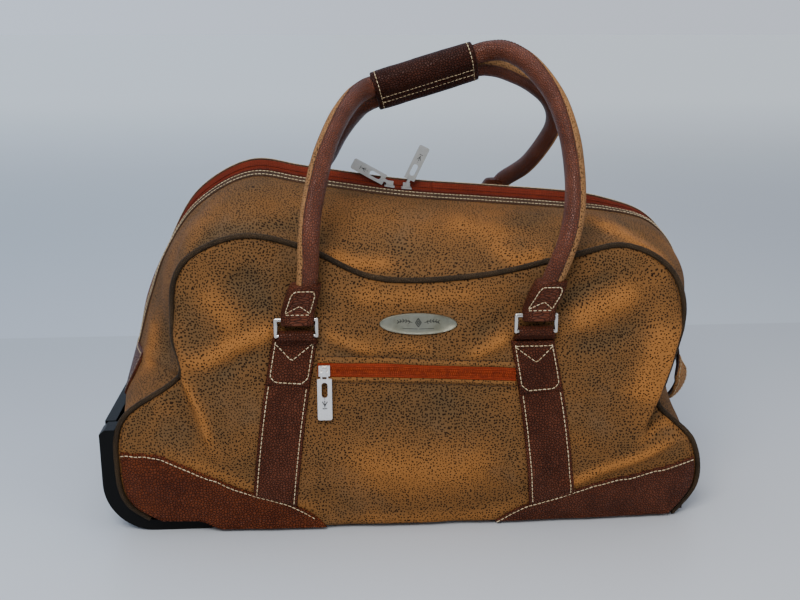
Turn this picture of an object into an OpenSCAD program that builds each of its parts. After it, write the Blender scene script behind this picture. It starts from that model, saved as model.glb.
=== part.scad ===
// Rolling duffel flight bag: soft body on a wheeled base, two carry handles
// joined by a grip wrap, telescoping trolley handle in the base.
// X runs left to right (wheels at the left end), Y front to back, Z up.
// The origin is at the centre of the footprint, on the floor. Millimetres.

/* [Body] */
// thickness of a body panel with its foam and lining
panel_t = 5; // [3:0.5:8]
// depth of the body at the piped seams, where the faces are flattest
seam_depth = 256; // [220:2:300]
// how far the front and back faces bulge beyond the piped seams
face_bulge = 20; // [5:1:30]
// radius of the piping cord in its leather cover
piping_r = 2.5; // [1.5:0.1:4]
// thickness of a strap or corner patch
strap_t = 2.2; // [1:0.1:4]
// width of the carry straps
strap_w = 40; // [30:1:50]

// width of the oval badge
badge_w = 70; // [50:1:90]
// height of the oval badge
badge_h = 19; // [12:1:30]

/* [Top opening] */
// half the width of the main zipper's tape
zip_half_w = 8; // [5:0.5:15]

/* [Carry handles] */
// radius of a rolled handle
handle_r = 9.5; // [7:0.5:14]
// radius of the ring wire
ring_wire_r = 2; // [1.5:0.1:3]
// outside width of a ring
ring_w = 40; // [30:1:50]
// distance between a ring's two bars
ring_bar_gap = 15; // [12:0.5:25]
// height of the front rings' lower bar
front_ring_z = 192; // [170:1:220]
// height of the back rings' lower bar
rear_ring_z = 250; // [230:1:265]
// running clearance between a ring bar and the loop on it
loop_gap = 0.3; // [0.1:0.1:0.6]
// length of the grip wrap
wrap_len = 102; // [80:1:130]

/* [Wheels and guards] */
// wheel radius over the tyre
wheel_r = 35; // [25:1:45]
// wheel width
wheel_w = 22; // [16:1:30]
// distance of a wheel's middle plane from the bag's middle plane
wheel_y = 95; // [80:1:110]
// axle radius
axle_r = 3; // [2:0.5:5]
// width of a skid guard across the bag
guard_w = 22; // [15:1:30]
// thickness of a skid guard's rail
guard_t = 14; // [8:0.5:20]

/* [Trolley] */
// outside radius of the fixed tubes
trolley_r = 9.5; // [8:0.5:12]
// distance of each tube from the middle plane
trolley_y = 55; // [45:1:70]
// height of the tubes' centre line
trolley_z = 21; // [18:1:30]
// wall of each tube
tube_wall = 0.9; // [0.6:0.1:1.5]
// running gap between two tubes
tube_gap = 0.1; // [0.05:0.05:0.3]

/* [Hidden] */
left_x = -296;          // outer face of the skid guards
guard_corner = 48;      // outer corner radius of a skid guard
guard_top = 101;        // top of the guards and of the kick plate
base_left = -194.5;      // the base starts clear of the guards' feet
wheel_x = -258;
wheel_z = 37;
trolley_left = -205;    // inner end of the fixed tubes
trolley_right = 256;    // outer end of the fixed tubes
half_seam = seam_depth / 2;
ring_x = [-114, 100];   // middle of the left and right rings
tab_x = [-112.5, 102];  // middle of the handle tabs in those rings
front_ring_y = -146;
rear_ring_y = 142;
pocket_x = [-94, 82];   // ends of the pocket zipper
pocket_z = [159, 150];  // its height at those ends
round_fn = 48;
tan_leather = [0.62, 0.42, 0.22];
brown_leather = [0.30, 0.13, 0.09];
dark_piping = [0.16, 0.11, 0.07];
black_plastic = [0.09, 0.09, 0.10];
steel = [0.75, 0.75, 0.73];
zip_tape = [0.66, 0.22, 0.08];
lining = [0.24, 0.20, 0.17];

// Piped seam of the front face, from the lower left corner up, over the top
// and down to the lower right corner, and the middle of the boxing opposite
// each of its points. Both are [x, z].
seam_pts = [
    [-246, 12], [-273, 30], [-279, 62], [-272, 100], [-234, 146], [-225, 190],
    [-219, 232], [-196, 263], [-150, 276], [-100, 262], [-20, 239], [60, 241],
    [130, 251], [185, 262], [224, 244], [239, 208], [240, 160], [244, 115],
    [255, 72], [256, 36], [236, 4]
];
crown_pts = [
    [-246, 12], [-286, 30], [-290, 62], [-289, 106], [-278, 150], [-266, 196],
    [-245, 240], [-212, 290], [-160, 319], [-104, 312], [-14, 299], [70, 292],
    [140, 286], [195, 280], [240, 266], [268, 230], [266, 182], [259, 130],
    [260, 80], [262, 36], [236, 4]
];
first_boxing = 3.05;  // the boxing starts above the kick plate ...
flap_start = 8;      // ... the top halves open between these two points ...
flap_end = 13;
last_boxing = 18.8;  // ... and the boxing ends at the right base wrap

front_path = [
    [-111, -146, 216], [-111, -146, 232], [-109, -146, 254], [-105, -144, 278],
    [-99, -131, 306], [-89, -104, 342], [-76, -70, 370], [-62, -39, 388],
    [-48, -15, 397.5], [-32, -7.5, 402.6], [-10, -7.5, 409.2],
    [12, -7.5, 415.8], [34, -7.5, 422.4], [56, -7.5, 429], [72, -10, 433],
    [90, -20, 433], [110, -38, 421], [128, -61, 397], [139, -85, 368],
    [142, -107, 338], [139, -127, 306], [130, -141, 279], [117, -146, 254],
    [105, -146, 232], [102, -146, 216]
];
rear_path = [
    [-110, 142, 276], [-106, 140, 286], [-97, 124, 302], [-85, 98, 320],
    [-72, 62, 348], [-58, 34, 370], [-46, 14, 383], [-32, 7.5, 389.6],
    [-10, 7.5, 396.2], [12, 7.5, 402.8], [34, 7.5, 409.4], [56, 7.5, 416],
    [74, 11, 418.5], [98, 20, 413], [128, 39, 399], [150, 55, 380],
    [158, 73, 357], [150, 93, 331], [136, 116, 306], [116, 139, 287],
    [106, 142, 276]
];
end_handle_path = [
    [262, 158], [272, 146], [282, 124], [288, 100], [288, 88], [280, 74],
    [266, 64]
];

// ---- curve and surface rules ----
function lerp(a, b, f) = a + (b - a) * f;
function unit(v) = v / norm(v);
function smooth(f) = let (c = max(0, min(1, f))) c * c * (3 - 2 * c);
function at(p, i) = p[max(0, min(len(p) - 1, i))];
// point at a (possibly fractional) index on a smooth curve through p
function curve(p, t) =
    let (i = min(len(p) - 2, floor(t)), f = t - i,
         a = at(p, i - 1), b = at(p, i), c = at(p, i + 1), d = at(p, i + 2))
    b + 0.5 * f * (c - a + f * (2 * a - 5 * b + 4 * c - d
        + f * (3 * b - a - 3 * c + d)));
// height of the top seam over x, by walking along the seam
function seam_top(x, i = 6) =
    i >= 14 || x <= seam_pts[i + 1][0]
    ? lerp(seam_pts[i][1], at(seam_pts, i + 1)[1],
           max(0, min(1, (x - seam_pts[i][0])
               / (at(seam_pts, i + 1)[0] - seam_pts[i][0]))))
    : seam_top(x, i + 1);
// front face: how far the surface stands in front of the middle plane
function face_y(x, z) =
    let (q = max(0, min(1, z / seam_top(x))), e = abs(x + 10) / 290)
    -half_seam - face_bulge * max(0, 1 - pow(e, 5))
        * (1 - pow(q, 2.5)) * (0.6 + 0.4 * smooth(q / 0.3));
// base line of the front face, lifted over the guard's foot
function base_line(x) = 3 + 9 * smooth((-185 - x) / 25);
function seam_y(t) = let (p = curve(seam_pts, t)) face_y(p[0], p[1]);
// a point of the boxing: t along the arch, s from -1 (front) to 1 (back),
// off the distance outwards from its outer surface
function boxing(t, s, off = 0) =
    let (p = curve(seam_pts, t), k = curve(crown_pts, t),
         d = unit(curve(crown_pts, t + 0.05) - curve(crown_pts, t - 0.05)),
         c = p + (k - p) * (1 - s * s) + off * [-d[1], d[0]])
    [c[0], s * (-seam_y(t) - panel_t - 0.4), c[1]];
// a point of the front face: u across, v up, by blending its four edges
function face_point(u, v, off = 0) =
    let (l = curve(seam_pts, 7 * v), r = curve(seam_pts, 20 - 7 * v),
         top = curve(seam_pts, 7 + 6 * u), c0 = seam_pts[0], c1 = seam_pts[20],
         bx = lerp(c0[0], c1[0], u), b = [bx, lerp(base_line(bx), c1[1], u > 0.9 ? (u - 0.9) * 10 : 0)],
         c2 = curve(seam_pts, 7), c3 = curve(seam_pts, 13),
         p = (1 - v) * b + v * top + (1 - u) * l + u * r
             - (1 - u) * (1 - v) * c0 - u * (1 - v) * c1
             - (1 - u) * v * c2 - u * v * c3)
    [p[0], face_y(p[0], p[1]) - off, p[1]];
function on_face(x, z, off) = [x, face_y(x, z) - off, z];

// ---- builders ----
// closed solid between two grids of points with the same rows and columns
module slab(outer, inner) {
    r = len(outer);
    c = len(outer[0]);
    n = r * c;
    points = concat([for (row = outer) each row], [for (row = inner) each row]);
    sheet = [for (i = [0 : r - 2], j = [0 : c - 2])
        each [[i * c + j, (i + 1) * c + j, i * c + j + 1],
              [i * c + j + 1, (i + 1) * c + j, (i + 1) * c + j + 1]]];
    rim = concat([for (j = [0 : c - 1]) j],
                 [for (i = [1 : r - 1]) i * c + c - 1],
                 [for (j = [c - 2 : -1 : 0]) (r - 1) * c + j],
                 [for (i = [r - 2 : -1 : 1]) i * c]);
    m = len(rim);
    walls = [for (k = [0 : m - 1]) let (a = rim[k], b = rim[(k + 1) % m])
        each [[a, b, b + n], [a, b + n, a + n]]];
    back = [for (f = sheet) [f[2] + n, f[1] + n, f[0] + n]];
    polyhedron(points, concat(sheet, back, walls));
}
// round or oval tube along a line of points, with flat ends
module sweep(path, r, sides = 10, flat = 1) {
    k = len(path);
    rings = [for (i = [0 : k - 1])
        let (d = unit(at(path, i + 1) - at(path, i - 1)),
             n = unit(cross(d, [0, 1, 0])), b = cross(n, d))
        for (a = [0 : sides - 1])
            path[i] + r * (cos(a * 360 / sides) * n
                + flat * sin(a * 360 / sides) * b)];
    sides_f = [for (i = [0 : k - 2], a = [0 : sides - 1])
        let (b = (a + 1) % sides, p = i * sides, q = p + sides)
        each [[p + a, q + a, p + b], [p + b, q + a, q + b]]];
    polyhedron(rings, concat(sides_f,
        [[for (a = [0 : sides - 1]) a]],
        [[for (a = [sides - 1 : -1 : 0]) (k - 1) * sides + a]]));
}
module mirror_y() { mirror([0, 1, 0]) children(); }
module both_sides() { children(); mirror_y() children(); }
module rod_x(x0, x1, r) {
    translate([x0, 0, 0]) rotate([0, 90, 0]) cylinder(h = x1 - x0, r = r, $fn = round_fn);
}
module rod_y(y0, y1, r) {
    translate([0, y1, 0]) rotate([90, 0, 0]) cylinder(h = y1 - y0, r = r, $fn = round_fn);
}
// flat plate with rounded corners in plan
module plate(x0, x1, y_half, z0, z1, r) {
    translate([0, 0, z0]) linear_extrude(z1 - z0) hull_free_rect(x0, x1, y_half, r);
}
module hull_free_rect(x0, x1, y_half, r) {
    translate([x0 + r, -y_half]) square([x1 - x0 - 2 * r, 2 * y_half]);
    translate([x0, -y_half + r]) square([x1 - x0, 2 * y_half - 2 * r]);
    for (x = [x0 + r, x1 - r], y = [-y_half + r, y_half - r])
        translate([x, y]) circle(r, $fn = round_fn);
}
function grid(n, m) = [for (i = [0 : n]) [for (j = [0 : m]) [i / n, j / m]]];
// part of the boxing, as a panel of the given outer and inner offsets
module boxing_panel(t0, t1, s0, s1, n, m, off = 0, thick = panel_t) {
    slab([for (row = grid(n, m)) [for (g = row)
             boxing(lerp(t0, t1, g[0]), lerp(s0, s1, g[1]), off)]],
         [for (row = grid(n, m)) [for (g = row)
             boxing(lerp(t0, t1, g[0]), lerp(s0, s1, g[1]), off - thick)]]);
}
module face_panel(off, thick, n = 22, m = 16) {
    slab([for (row = grid(m, n)) [for (g = row) face_point(g[1], g[0], off + thick)]],
         [for (row = grid(m, n)) [for (g = row) face_point(g[1], g[0], off)]]);
}
// strip of leather on the front face, between two ends given as [x, z]
module face_strip(p0, p1, w, off, thick, n = 8) {
    slab([for (i = [0 : n]) [for (j = [0 : 3])
             let (c = lerp(p0, p1, i / n)) on_face(c[0] + w * (j / 3 - 0.5), c[1], off + thick)]],
         [for (i = [0 : n]) [for (j = [0 : 3])
             let (c = lerp(p0, p1, i / n)) on_face(c[0] + w * (j / 3 - 0.5), c[1], off)]]);
}

// ---- base ----
module base_panel() {
    color(brown_leather) plate(base_left, 246, 130, 1.5, 6, 20);
}
module base_boards() {
    color(black_plastic) plate(base_left, 247.5, 126, 6.1, 9.5, 20);
    // the false floor over the trolley tubes
    color(lining) plate(-206, 247.5, 122, 32.5, 35, 20);
}
module base_runners() {
    color(black_plastic) for (x = [-150, 180]) translate([x, -110, 0]) cube([22, 220, 1.5]);
}
module right_base_wrap() {
    color(brown_leather) difference() {
        translate([248, -126, 3]) cube([6, 252, 40]);
        translate([247, -trolley_y - 20, 5]) cube([8, 2 * trolley_y + 40, 34]);
    }
}

// ---- body panels ----
module front_panel() { color(tan_leather) face_panel(-panel_t, panel_t); }
module back_panel() { color(tan_leather) mirror_y() face_panel(-panel_t, panel_t); }
module left_end_front() {
    color(tan_leather) boxing_panel(first_boxing, flap_start - 0.03, -1, -0.062, 14, 7);
}
module left_end_back() { color(tan_leather) mirror_y()
    boxing_panel(first_boxing, flap_start - 0.03, -1, -0.062, 14, 7);
}
module right_end_front() {
    color(tan_leather) boxing_panel(flap_end + 0.03, last_boxing, -1, -0.062, 14, 7);
}
module right_end_back() { color(tan_leather) mirror_y()
    boxing_panel(flap_end + 0.03, last_boxing, -1, -0.062, 14, 7);
}
module piping_run() {
    sweep([for (i = [4 : 75]) let (t = i / 4, p = curve(seam_pts, t),
        d = unit(curve(seam_pts, t + 0.05) - curve(seam_pts, t - 0.05)),
        c = p + (piping_r + 0.2) * [-d[1], d[0]])
        [c[0], seam_y(t) + 2.6, c[1]]], piping_r, 8);
}
module front_piping() { color(dark_piping) piping_run(); }
module back_piping() { color(dark_piping) mirror_y() piping_run(); }

// ---- trim ----
// dark patches over the two lower corners of a face: the top edge [x, z]
// runs level from the end, then slopes down to the base line
left_patch = [[-280, 79], [-240, 78], [-205, 65], [-142, 36], [-88, 6]];
right_patch = [[64, 4], [92, 19], [130, 33], [187, 46], [256, 62]];
function height_at(p, x, i = 0) =
    i >= len(p) - 2 || x <= p[i + 1][0]
    ? lerp(p[i][1], p[i + 1][1],
           max(0, min(1, (x - p[i][0]) / (p[i + 1][0] - p[i][0]))))
    : height_at(p, x, i + 1);
module corner_patch(edge, u0, u1) {
    rows = 5;
    cols = 12;
    function patch_grid(off) = [for (i = [0 : rows]) [for (j = [0 : cols])
        let (u = lerp(u0, u1, j / cols), b = face_point(u, 0), x = b[0],
             zt = max(height_at(edge, x), b[2] + 2),
             z = lerp(b[2] + 0.5, zt, i / rows),
             e = face_point(u, z / 262))
        on_face(e[0], z, off)]];
    slab(patch_grid(strap_t + 0.4), patch_grid(0.4));
}
module front_corner_patches() {
    color(brown_leather) {
        corner_patch(left_patch, 0.02, 0.33);
        corner_patch(right_patch, 0.65, 0.98);
    }
}
module back_corner_patches() { mirror_y() front_corner_patches(); }
module left_end_trim() {
    color(brown_leather) boxing_panel(first_boxing, 4.9, -0.45, 0.45, 5, 6, 0.4 + strap_t, strap_t);
}
module right_end_trim() {
    color(brown_leather) boxing_panel(15.4, 18.7, -0.24, 0.24, 8, 4, 0.4 + strap_t, strap_t);
}
module end_handle() {
    color(brown_leather) {
        n = 24;
        slab([for (i = [0 : n]) let (t = i * 6 / n, p = curve(end_handle_path, t),
                  d = unit(curve(end_handle_path, t + 0.1) - curve(end_handle_path, t - 0.1)))
                 [for (y = [-13, 13]) [p[0] - 1.8 * d[1], y, p[1] + 1.8 * d[0]]]],
             [for (i = [0 : n]) let (t = i * 6 / n, p = curve(end_handle_path, t),
                  d = unit(curve(end_handle_path, t + 0.1) - curve(end_handle_path, t - 0.1)))
                 [for (y = [-13, 13]) [p[0] + 1.8 * d[1], y, p[1] - 1.8 * d[0]]]]);
    }
}
// a carry strap, its folded top patch and its loop round the ring's lower bar
module strap_set(ring_z, ring_y) {
    for (i = [0, 1]) {
        top = [ring_x[i] - 1, ring_z - 7];
        side = i == 0 ? -1 : 1;
        face_strip([top[0] + side * 20, 34], top, strap_w, 0.4, strap_t);
        translate([ring_x[i], ring_y, ring_z]) rotate([0, 0, 0]) difference() {
            union() {
                rod_x(-15, 15, ring_wire_r + loop_gap + 2.4);
                translate([-15, 0, -12]) cube([30, ring_wire_r + loop_gap + 2.4, 12]);
            }
            rod_x(-16, 16, ring_wire_r + loop_gap);
        }
    }
}
module front_straps() { color(brown_leather) strap_set(front_ring_z, front_ring_y); }
module back_straps() {
    color(brown_leather) mirror_y() strap_set(rear_ring_z, -rear_ring_y);
}
module badge() {
    color(steel) translate([-5, face_y(-5, 198) - 0.2, 198]) rotate([84, -1, 0])
        linear_extrude(2)
            polygon([for (a = [0 : 6 : 354]) [badge_w / 2 * cos(a), badge_h / 2 * sin(a)]]);
}

// ---- zippers ----
function zip_grid(t0, t1, s0, s1, off, n) = [for (i = [0 : n]) [for (j = [0, 1])
    boxing(lerp(t0, t1, i / n), lerp(s0, s1, j), off)]];
module zip_run(t0, t1, s0, s1, n) {
    slab(zip_grid(t0, t1, s0, s1, 0.8, n), zip_grid(t0, t1, s0, s1, -1.2, n));
}
module end_zip_runs() {
    color(zip_tape) {
        zip_run(4.2, flap_start - 0.03, -0.058, 0.058, 14);
        zip_run(flap_end + 0.03, 16, -0.058, 0.058, 14);
    }
}
module pocket_zipper() {
    color(zip_tape) face_strip_x(pocket_x[0], pocket_x[1]);
}
module face_strip_x(x0, x1) {
    n = 10;
    function row(off, h) = [for (i = [0 : n]) let (x = lerp(x0, x1, i / n),
        z = lerp(pocket_z[0], pocket_z[1], i / n) + h) on_face(x, z, off)];
    slab([row(1.9, -6.5), row(1.9, 6.5)], [row(0.4, -6.5), row(0.4, 6.5)]);
}

// ---- top halves ----
module flap_panel() { boxing_panel(flap_start, flap_end, -1, -0.068, 22, 7); }
module flap_zip() {
    // the tape stops short of the sliders, so each half lifts off them
    zip_run(flap_start, 9.45, -0.062, -0.004, 7);
    zip_run(10.75, flap_end, -0.062, -0.004, 9);
}
module front_flap() { color(tan_leather) flap_panel(); }
module back_flap() { color(tan_leather) mirror_y() flap_panel(); }
module front_main_zip() { color(zip_tape) flap_zip(); }
module back_main_zip() { color(zip_tape) mirror_y() flap_zip(); }

// ---- sliders and pulls ----
// zip slider standing on the tape, nose along +X, with its bail on top
module slider_body() {
    difference() {
        union() {
            translate([-5, -5, -2.6]) cube([10, 10, 1.2]);
            translate([-5, -5, 1.2]) cube([10, 10, 1.6]);
            translate([-5, -1, -2]) cube([3, 2, 4]);
            translate([-3.5, -1.6, 2.4]) cube([7, 3.2, 4.6]);
        }
        translate([0, 0, 4.9]) rod_y(-3, 3, 1.3);
    }
}
// pull tab hanging from the bail: two arms either side of it, and a plate
// with a long oval hole near its top
module pull_tab(len_mm, w) {
    rod_y(-3.4, 3.4, 1.2);
    for (y = [-3.4, 2]) translate([-1.2, y, -7]) cube([2.4, 1.4, 7]);
    translate([-2, -3.4, -8.6]) cube([4, 6.8, 2]);
    difference() {
        translate([0, 0.9, -6]) rotate([90, 0, 0]) linear_extrude(1.8) {
            translate([-w / 2, -len_mm + 6 + 2]) square([w, len_mm - 8]);
            translate([-w / 2 + 2, -len_mm + 6]) square([w - 4, 2]);
            for (x = [-w / 2 + 2, w / 2 - 2])
                translate([x, -len_mm + 8]) circle(2, $fn = round_fn);
        }
        translate([0, 2, -13]) rotate([90, 0, 0]) linear_extrude(4) {
            circle(2.6, $fn = round_fn);
            translate([-2.6, -7]) square([5.2, 7]);
            translate([0, -7]) circle(2.6, $fn = round_fn);
        }
    }
}
left_slide_at = [-23, 0, 300.4];
right_slide_at = [-6, 0, 298.2];
left_slope = 8.5;
right_slope = 5;
module main_slider_left() {
    color(steel) translate(left_slide_at) rotate([0, left_slope, 0]) mirror([1, 0, 0]) slider_body();
}
module main_slider_right() {
    color(steel) translate(right_slide_at) rotate([0, right_slope, 0]) slider_body();
}
module main_pull_left() {
    color(steel) translate(left_slide_at + [0.72, 0, 4.85]) rotate([0, 119, 0]) pull_tab(42, 11);
}
module main_pull_right() {
    color(steel) translate(right_slide_at + [0.43, 0, 4.88]) rotate([0, 206, 0]) pull_tab(42, 11);
}
pocket_slide_at = [-90, face_y(-90, 158.8) - 3.6, 158.8];
module pocket_slider() {
    color(steel) translate(pocket_slide_at) rotate([90, 0, 0]) {
        translate([-5, -5, -1]) cube([10, 10, 1.6]);
        difference() {
            translate([-1.8, -4, 0.4]) cube([3.6, 8, 4.6]);
            translate([-2, -0.6, 2.8]) rotate([0, 0, 0]) rod_x(0, 4, 1.3);
        }
    }
}
module pocket_pull() {
    color(steel) translate(pocket_slide_at + [0, -2.8, -0.6]) rotate([0, 0, 90])
        pocket_tab(45, 13);
}
module pocket_tab(len_mm, w) {
    rod_y(-3.4, 3.4, 1.2);
    for (y = [-3.4, 2]) translate([-0.9, y, -7]) cube([1.8, 1.4, 7]);
    difference() {
        translate([-0.9, 0, -6]) rotate([90, 0, 90]) linear_extrude(1.8) {
            translate([-w / 2, -len_mm + 8]) square([w, len_mm - 8]);
            translate([-w / 2 + 2, -len_mm + 6]) square([w - 4, 2]);
            for (x = [-w / 2 + 2, w / 2 - 2])
                translate([x, -len_mm + 8]) circle(2, $fn = round_fn);
        }
        translate([-2, 0, -12]) rotate([90, 0, 90]) linear_extrude(4) {
            circle(2.8, $fn = round_fn);
            translate([-2.8, -9]) square([5.6, 9]);
            translate([0, -9]) circle(2.8, $fn = round_fn);
        }
    }
}

// ---- wheel end ----
// J-shaped outline of a skid guard in the XZ plane, outside minus inside
module guard_outline(x0, z0, r, top, foot) {
    translate([x0, z0 + r]) square([foot - x0, top - z0 - r]);
    translate([x0 + r, z0]) square([foot - x0 - r, r]);
    translate([x0 + r, z0 + r]) circle(r, $fn = 96);
}
module guard() {
    translate([0, -wheel_y - wheel_w / 2 - 2, 0]) rotate([90, 0, 0])
        linear_extrude(guard_w) difference() {
            union() {
                difference() {
                    guard_outline(left_x, 0, guard_corner, guard_top, -206);
                    guard_outline(left_x + guard_t, 10.5, guard_corner - 13, guard_top + 5, -190);
                }
                translate([-208, 0]) square([8, 10.5]);
                translate([-200, 5.25]) circle(5.25, $fn = round_fn);
            }
            translate([left_x - 1, guard_top - 5]) polygon([[0, 0], [0, 6], [7, 6]]);
        }
}
module skid_guards() { color(black_plastic) both_sides() guard(); }
module housing() {
    y0 = -wheel_y - wheel_w / 2 - 1.5;
    translate([0, y0 + wheel_w + 8, 0]) rotate([90, 0, 0]) difference() {
        translate([-278, 12, 0]) cube([70, 74, wheel_w + 8]);
        translate([wheel_x, wheel_z, 3]) cylinder(h = wheel_w + 6, r = wheel_r + 4, $fn = 96);
        translate([-300, -1, 3]) cube([300 + wheel_x, wheel_z + 1, wheel_w + 6]);
        translate([wheel_x, wheel_z, -1]) cylinder(h = 30, r = axle_r + 0.02, $fn = round_fn);
    }
}
module wheel_housings() { color(black_plastic) both_sides() housing(); }
module kick_plate() {
    color(black_plastic) {
        // moulded tray between the wheel housings: end wall, corner, floor
        translate([0, wheel_y - 19, 0]) rotate([90, 0, 0])
            linear_extrude(2 * wheel_y - 38) difference() {
                guard_outline(left_x + 6, 2, 40, guard_top, base_left - 0.2);
                guard_outline(left_x + 11, 7, 35, guard_top + 5, -190);
            }
        translate([left_x + 1, -105.5, guard_top - 12]) cube([10, 211, 12]);
    }
}
module wheel_axles() {
    color(steel) both_sides() translate([wheel_x, 0, wheel_z]) rod_y(-109, -77, axle_r);
}
module at_wheel(side) { translate([wheel_x, side * wheel_y, wheel_z]) children(); }
module tyre() {
    rotate([90, 0, 0]) rotate_extrude($fn = 96) {
        difference() {
            union() {
                translate([24, -wheel_w / 2 + 3]) square([wheel_r - 24, wheel_w - 6]);
                translate([24, -wheel_w / 2]) square([wheel_r - 27, wheel_w]);
                for (y = [-1, 1]) translate([wheel_r - 3, y * (wheel_w / 2 - 3)])
                    circle(3, $fn = round_fn);
            }
        }
    }
}
module hub() {
    difference() {
        union() {
            rod_y(-9, 9, 11);
            rod_y(-2, 2, 24);
            difference() { rod_y(-9, 9, 24); rod_y(-10, 10, 20); }
        }
        rod_y(-12, 12, 8);
    }
}
module bearing() {
    difference() { rod_y(-10, 10, 8); rod_y(-11, 11, axle_r + 0.05); }
}
module front_tyre() { color([0.12, 0.12, 0.12]) at_wheel(-1) tyre(); }
module rear_tyre() { color([0.12, 0.12, 0.12]) at_wheel(1) tyre(); }
module front_hub() { color([0.5, 0.5, 0.52]) at_wheel(-1) hub(); }
module rear_hub() { color([0.5, 0.5, 0.52]) at_wheel(1) hub(); }
module front_bearing() { color(steel) at_wheel(-1) bearing(); }
module rear_bearing() { color(steel) at_wheel(1) bearing(); }

// ---- trolley ----
r_mid = trolley_r - tube_wall - tube_gap;
r_inner = r_mid - tube_wall - tube_gap;
r_rod = 2;
module tubes(x0, x1, r) {
    both_sides() translate([0, trolley_y, trolley_z]) difference() {
        rod_x(x0, x1, r);
        rod_x(x0 - 1, x1 + 1, r - tube_wall);
    }
}
module trolley_outer_tubes() { color(steel) tubes(trolley_left, trolley_right, trolley_r); }
module trolley_end_block() {
    color(black_plastic) both_sides() translate([0, trolley_y, trolley_z]) difference() {
        translate([trolley_left - 8, -13, -11]) cube([20, 26, 22]);
        rod_x(trolley_left, trolley_left + 30, trolley_r + 0.02);
    }
}
module trolley_bezel() {
    color(black_plastic) difference() {
        translate([254.2, -trolley_y - 19, 6]) cube([8, 2 * trolley_y + 38, 32]);
        both_sides() translate([0, trolley_y, trolley_z]) {
            rod_x(254, trolley_right, trolley_r + 0.02);
            rod_x(250, 270, r_mid + 0.15);
        }
    }
}
module trolley_mid_tubes() { color(steel) tubes(trolley_left + 6, 262, r_mid); }
module trolley_inner_tubes() { color(steel) tubes(trolley_left + 12, 266.5, r_inner); }
module trolley_grip() {
    color(black_plastic) difference() {
        union() {
            translate([266.4, -trolley_y - 12, trolley_z - 11])
                cube([16, 2 * trolley_y + 24, 22]);
            translate([282.4, 0, trolley_z]) rotate([90, 0, 0])
                cylinder(h = 2 * trolley_y + 24, r = 6, center = true, $fn = round_fn);
        }
        // button well, rod holes and the slot for their cross bar
        translate([269.2, -13.2, trolley_z - 5.2]) cube([30, 26.4, 10.4]);
        both_sides() translate([0, trolley_y, trolley_z]) rod_x(266, 276.8, r_rod + 0.3);
        translate([270, -trolley_y - 2.3, trolley_z - 2.3])
            cube([6.8, 2 * trolley_y + 4.6, 4.6]);
    }
}
module trolley_button() {
    color([0.45, 0.45, 0.47]) {
        translate([280, -13, trolley_z - 5]) cube([8.5, 26, 10]);
        translate([276.6, -10, trolley_z - 4]) cube([3.4, 20, 8]);
    }
}
module release_rods() {
    color(steel) {
        both_sides() translate([0, trolley_y, trolley_z]) rod_x(60, 274.6, r_rod);
        translate([274.6, 0, trolley_z]) rod_y(-trolley_y - 2, trolley_y + 2, r_rod);
    }
}
module button_spring() {
    color(steel) translate([269.2, 0, trolley_z]) difference() {
        rod_x(0, 3.4, 3);
        rod_x(-1, 5, 2.2);
    }
}

// ---- rings ----
module ring_pair(y, z) {
    for (x = ring_x) translate([x, y, z]) {
        for (h = [0, ring_bar_gap]) translate([0, 0, h])
            rod_x(-ring_w / 2 + ring_wire_r, ring_w / 2 - ring_wire_r, ring_wire_r);
        for (s = [-1, 1]) translate([s * (ring_w / 2 - ring_wire_r), 0, 0]) {
            cylinder(h = ring_bar_gap, r = ring_wire_r, $fn = round_fn);
            sphere(ring_wire_r, $fn = round_fn);
            translate([0, 0, ring_bar_gap]) sphere(ring_wire_r, $fn = round_fn);
        }
    }
}
module front_rings() { color(steel) ring_pair(front_ring_y, front_ring_z); }
module rear_rings() { color(steel) ring_pair(rear_ring_y, rear_ring_z); }

// ---- carry handles ----
function refine(p, n) = [for (i = [0 : (len(p) - 1) * n]) curve(p, i / n)];
module handle_tabs(y, z) {
    for (x = tab_x) translate([x, y, z + ring_bar_gap]) difference() {
        union() {
            rod_x(-13, 13, ring_wire_r + loop_gap + 2);
            translate([-13, -4.3, 0]) cube([26, 8.6, 16]);
        }
        rod_x(-14, 14, ring_wire_r + loop_gap);
    }
}
module front_handle_roll() { color(brown_leather) sweep(refine(front_path, 2), handle_r, 10); }
module rear_handle_roll() { color(brown_leather) sweep(refine(rear_path, 2), handle_r, 10); }
module front_handle_tabs() { color(brown_leather) handle_tabs(front_ring_y, front_ring_z); }
module rear_handle_tabs() { color(brown_leather) handle_tabs(rear_ring_y, rear_ring_z); }
// half of the grip wrap: side -1 covers the front strand, 1 the rear strand
module wrap_half(side) {
    translate([12, 0, 409.3]) rotate([0, -16.7, 0]) rotate([side > 0 ? 180 : 0, 0, 0])
        rotate([-41, 0, 0]) translate([-wrap_len / 2, -10, 0]) rotate([0, 90, 0])
            linear_extrude(wrap_len) difference() {
                union() {
                    difference() {
                        circle(handle_r + 3.2, $fn = round_fn);
                        translate([-20, 0]) square([40, 20]);
                    }
                    translate([-handle_r - 3.2, 0]) square([2 * handle_r + 6.4, 9.8]);
                }
                circle(handle_r + 0.9, $fn = round_fn);
                translate([-handle_r - 0.9, 0]) square([2 * handle_r + 1.8, 12]);
            }
}
module front_wrap_half() { color(brown_leather) wrap_half(-1); }
module rear_wrap_half() { color(brown_leather) wrap_half(1); }

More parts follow.
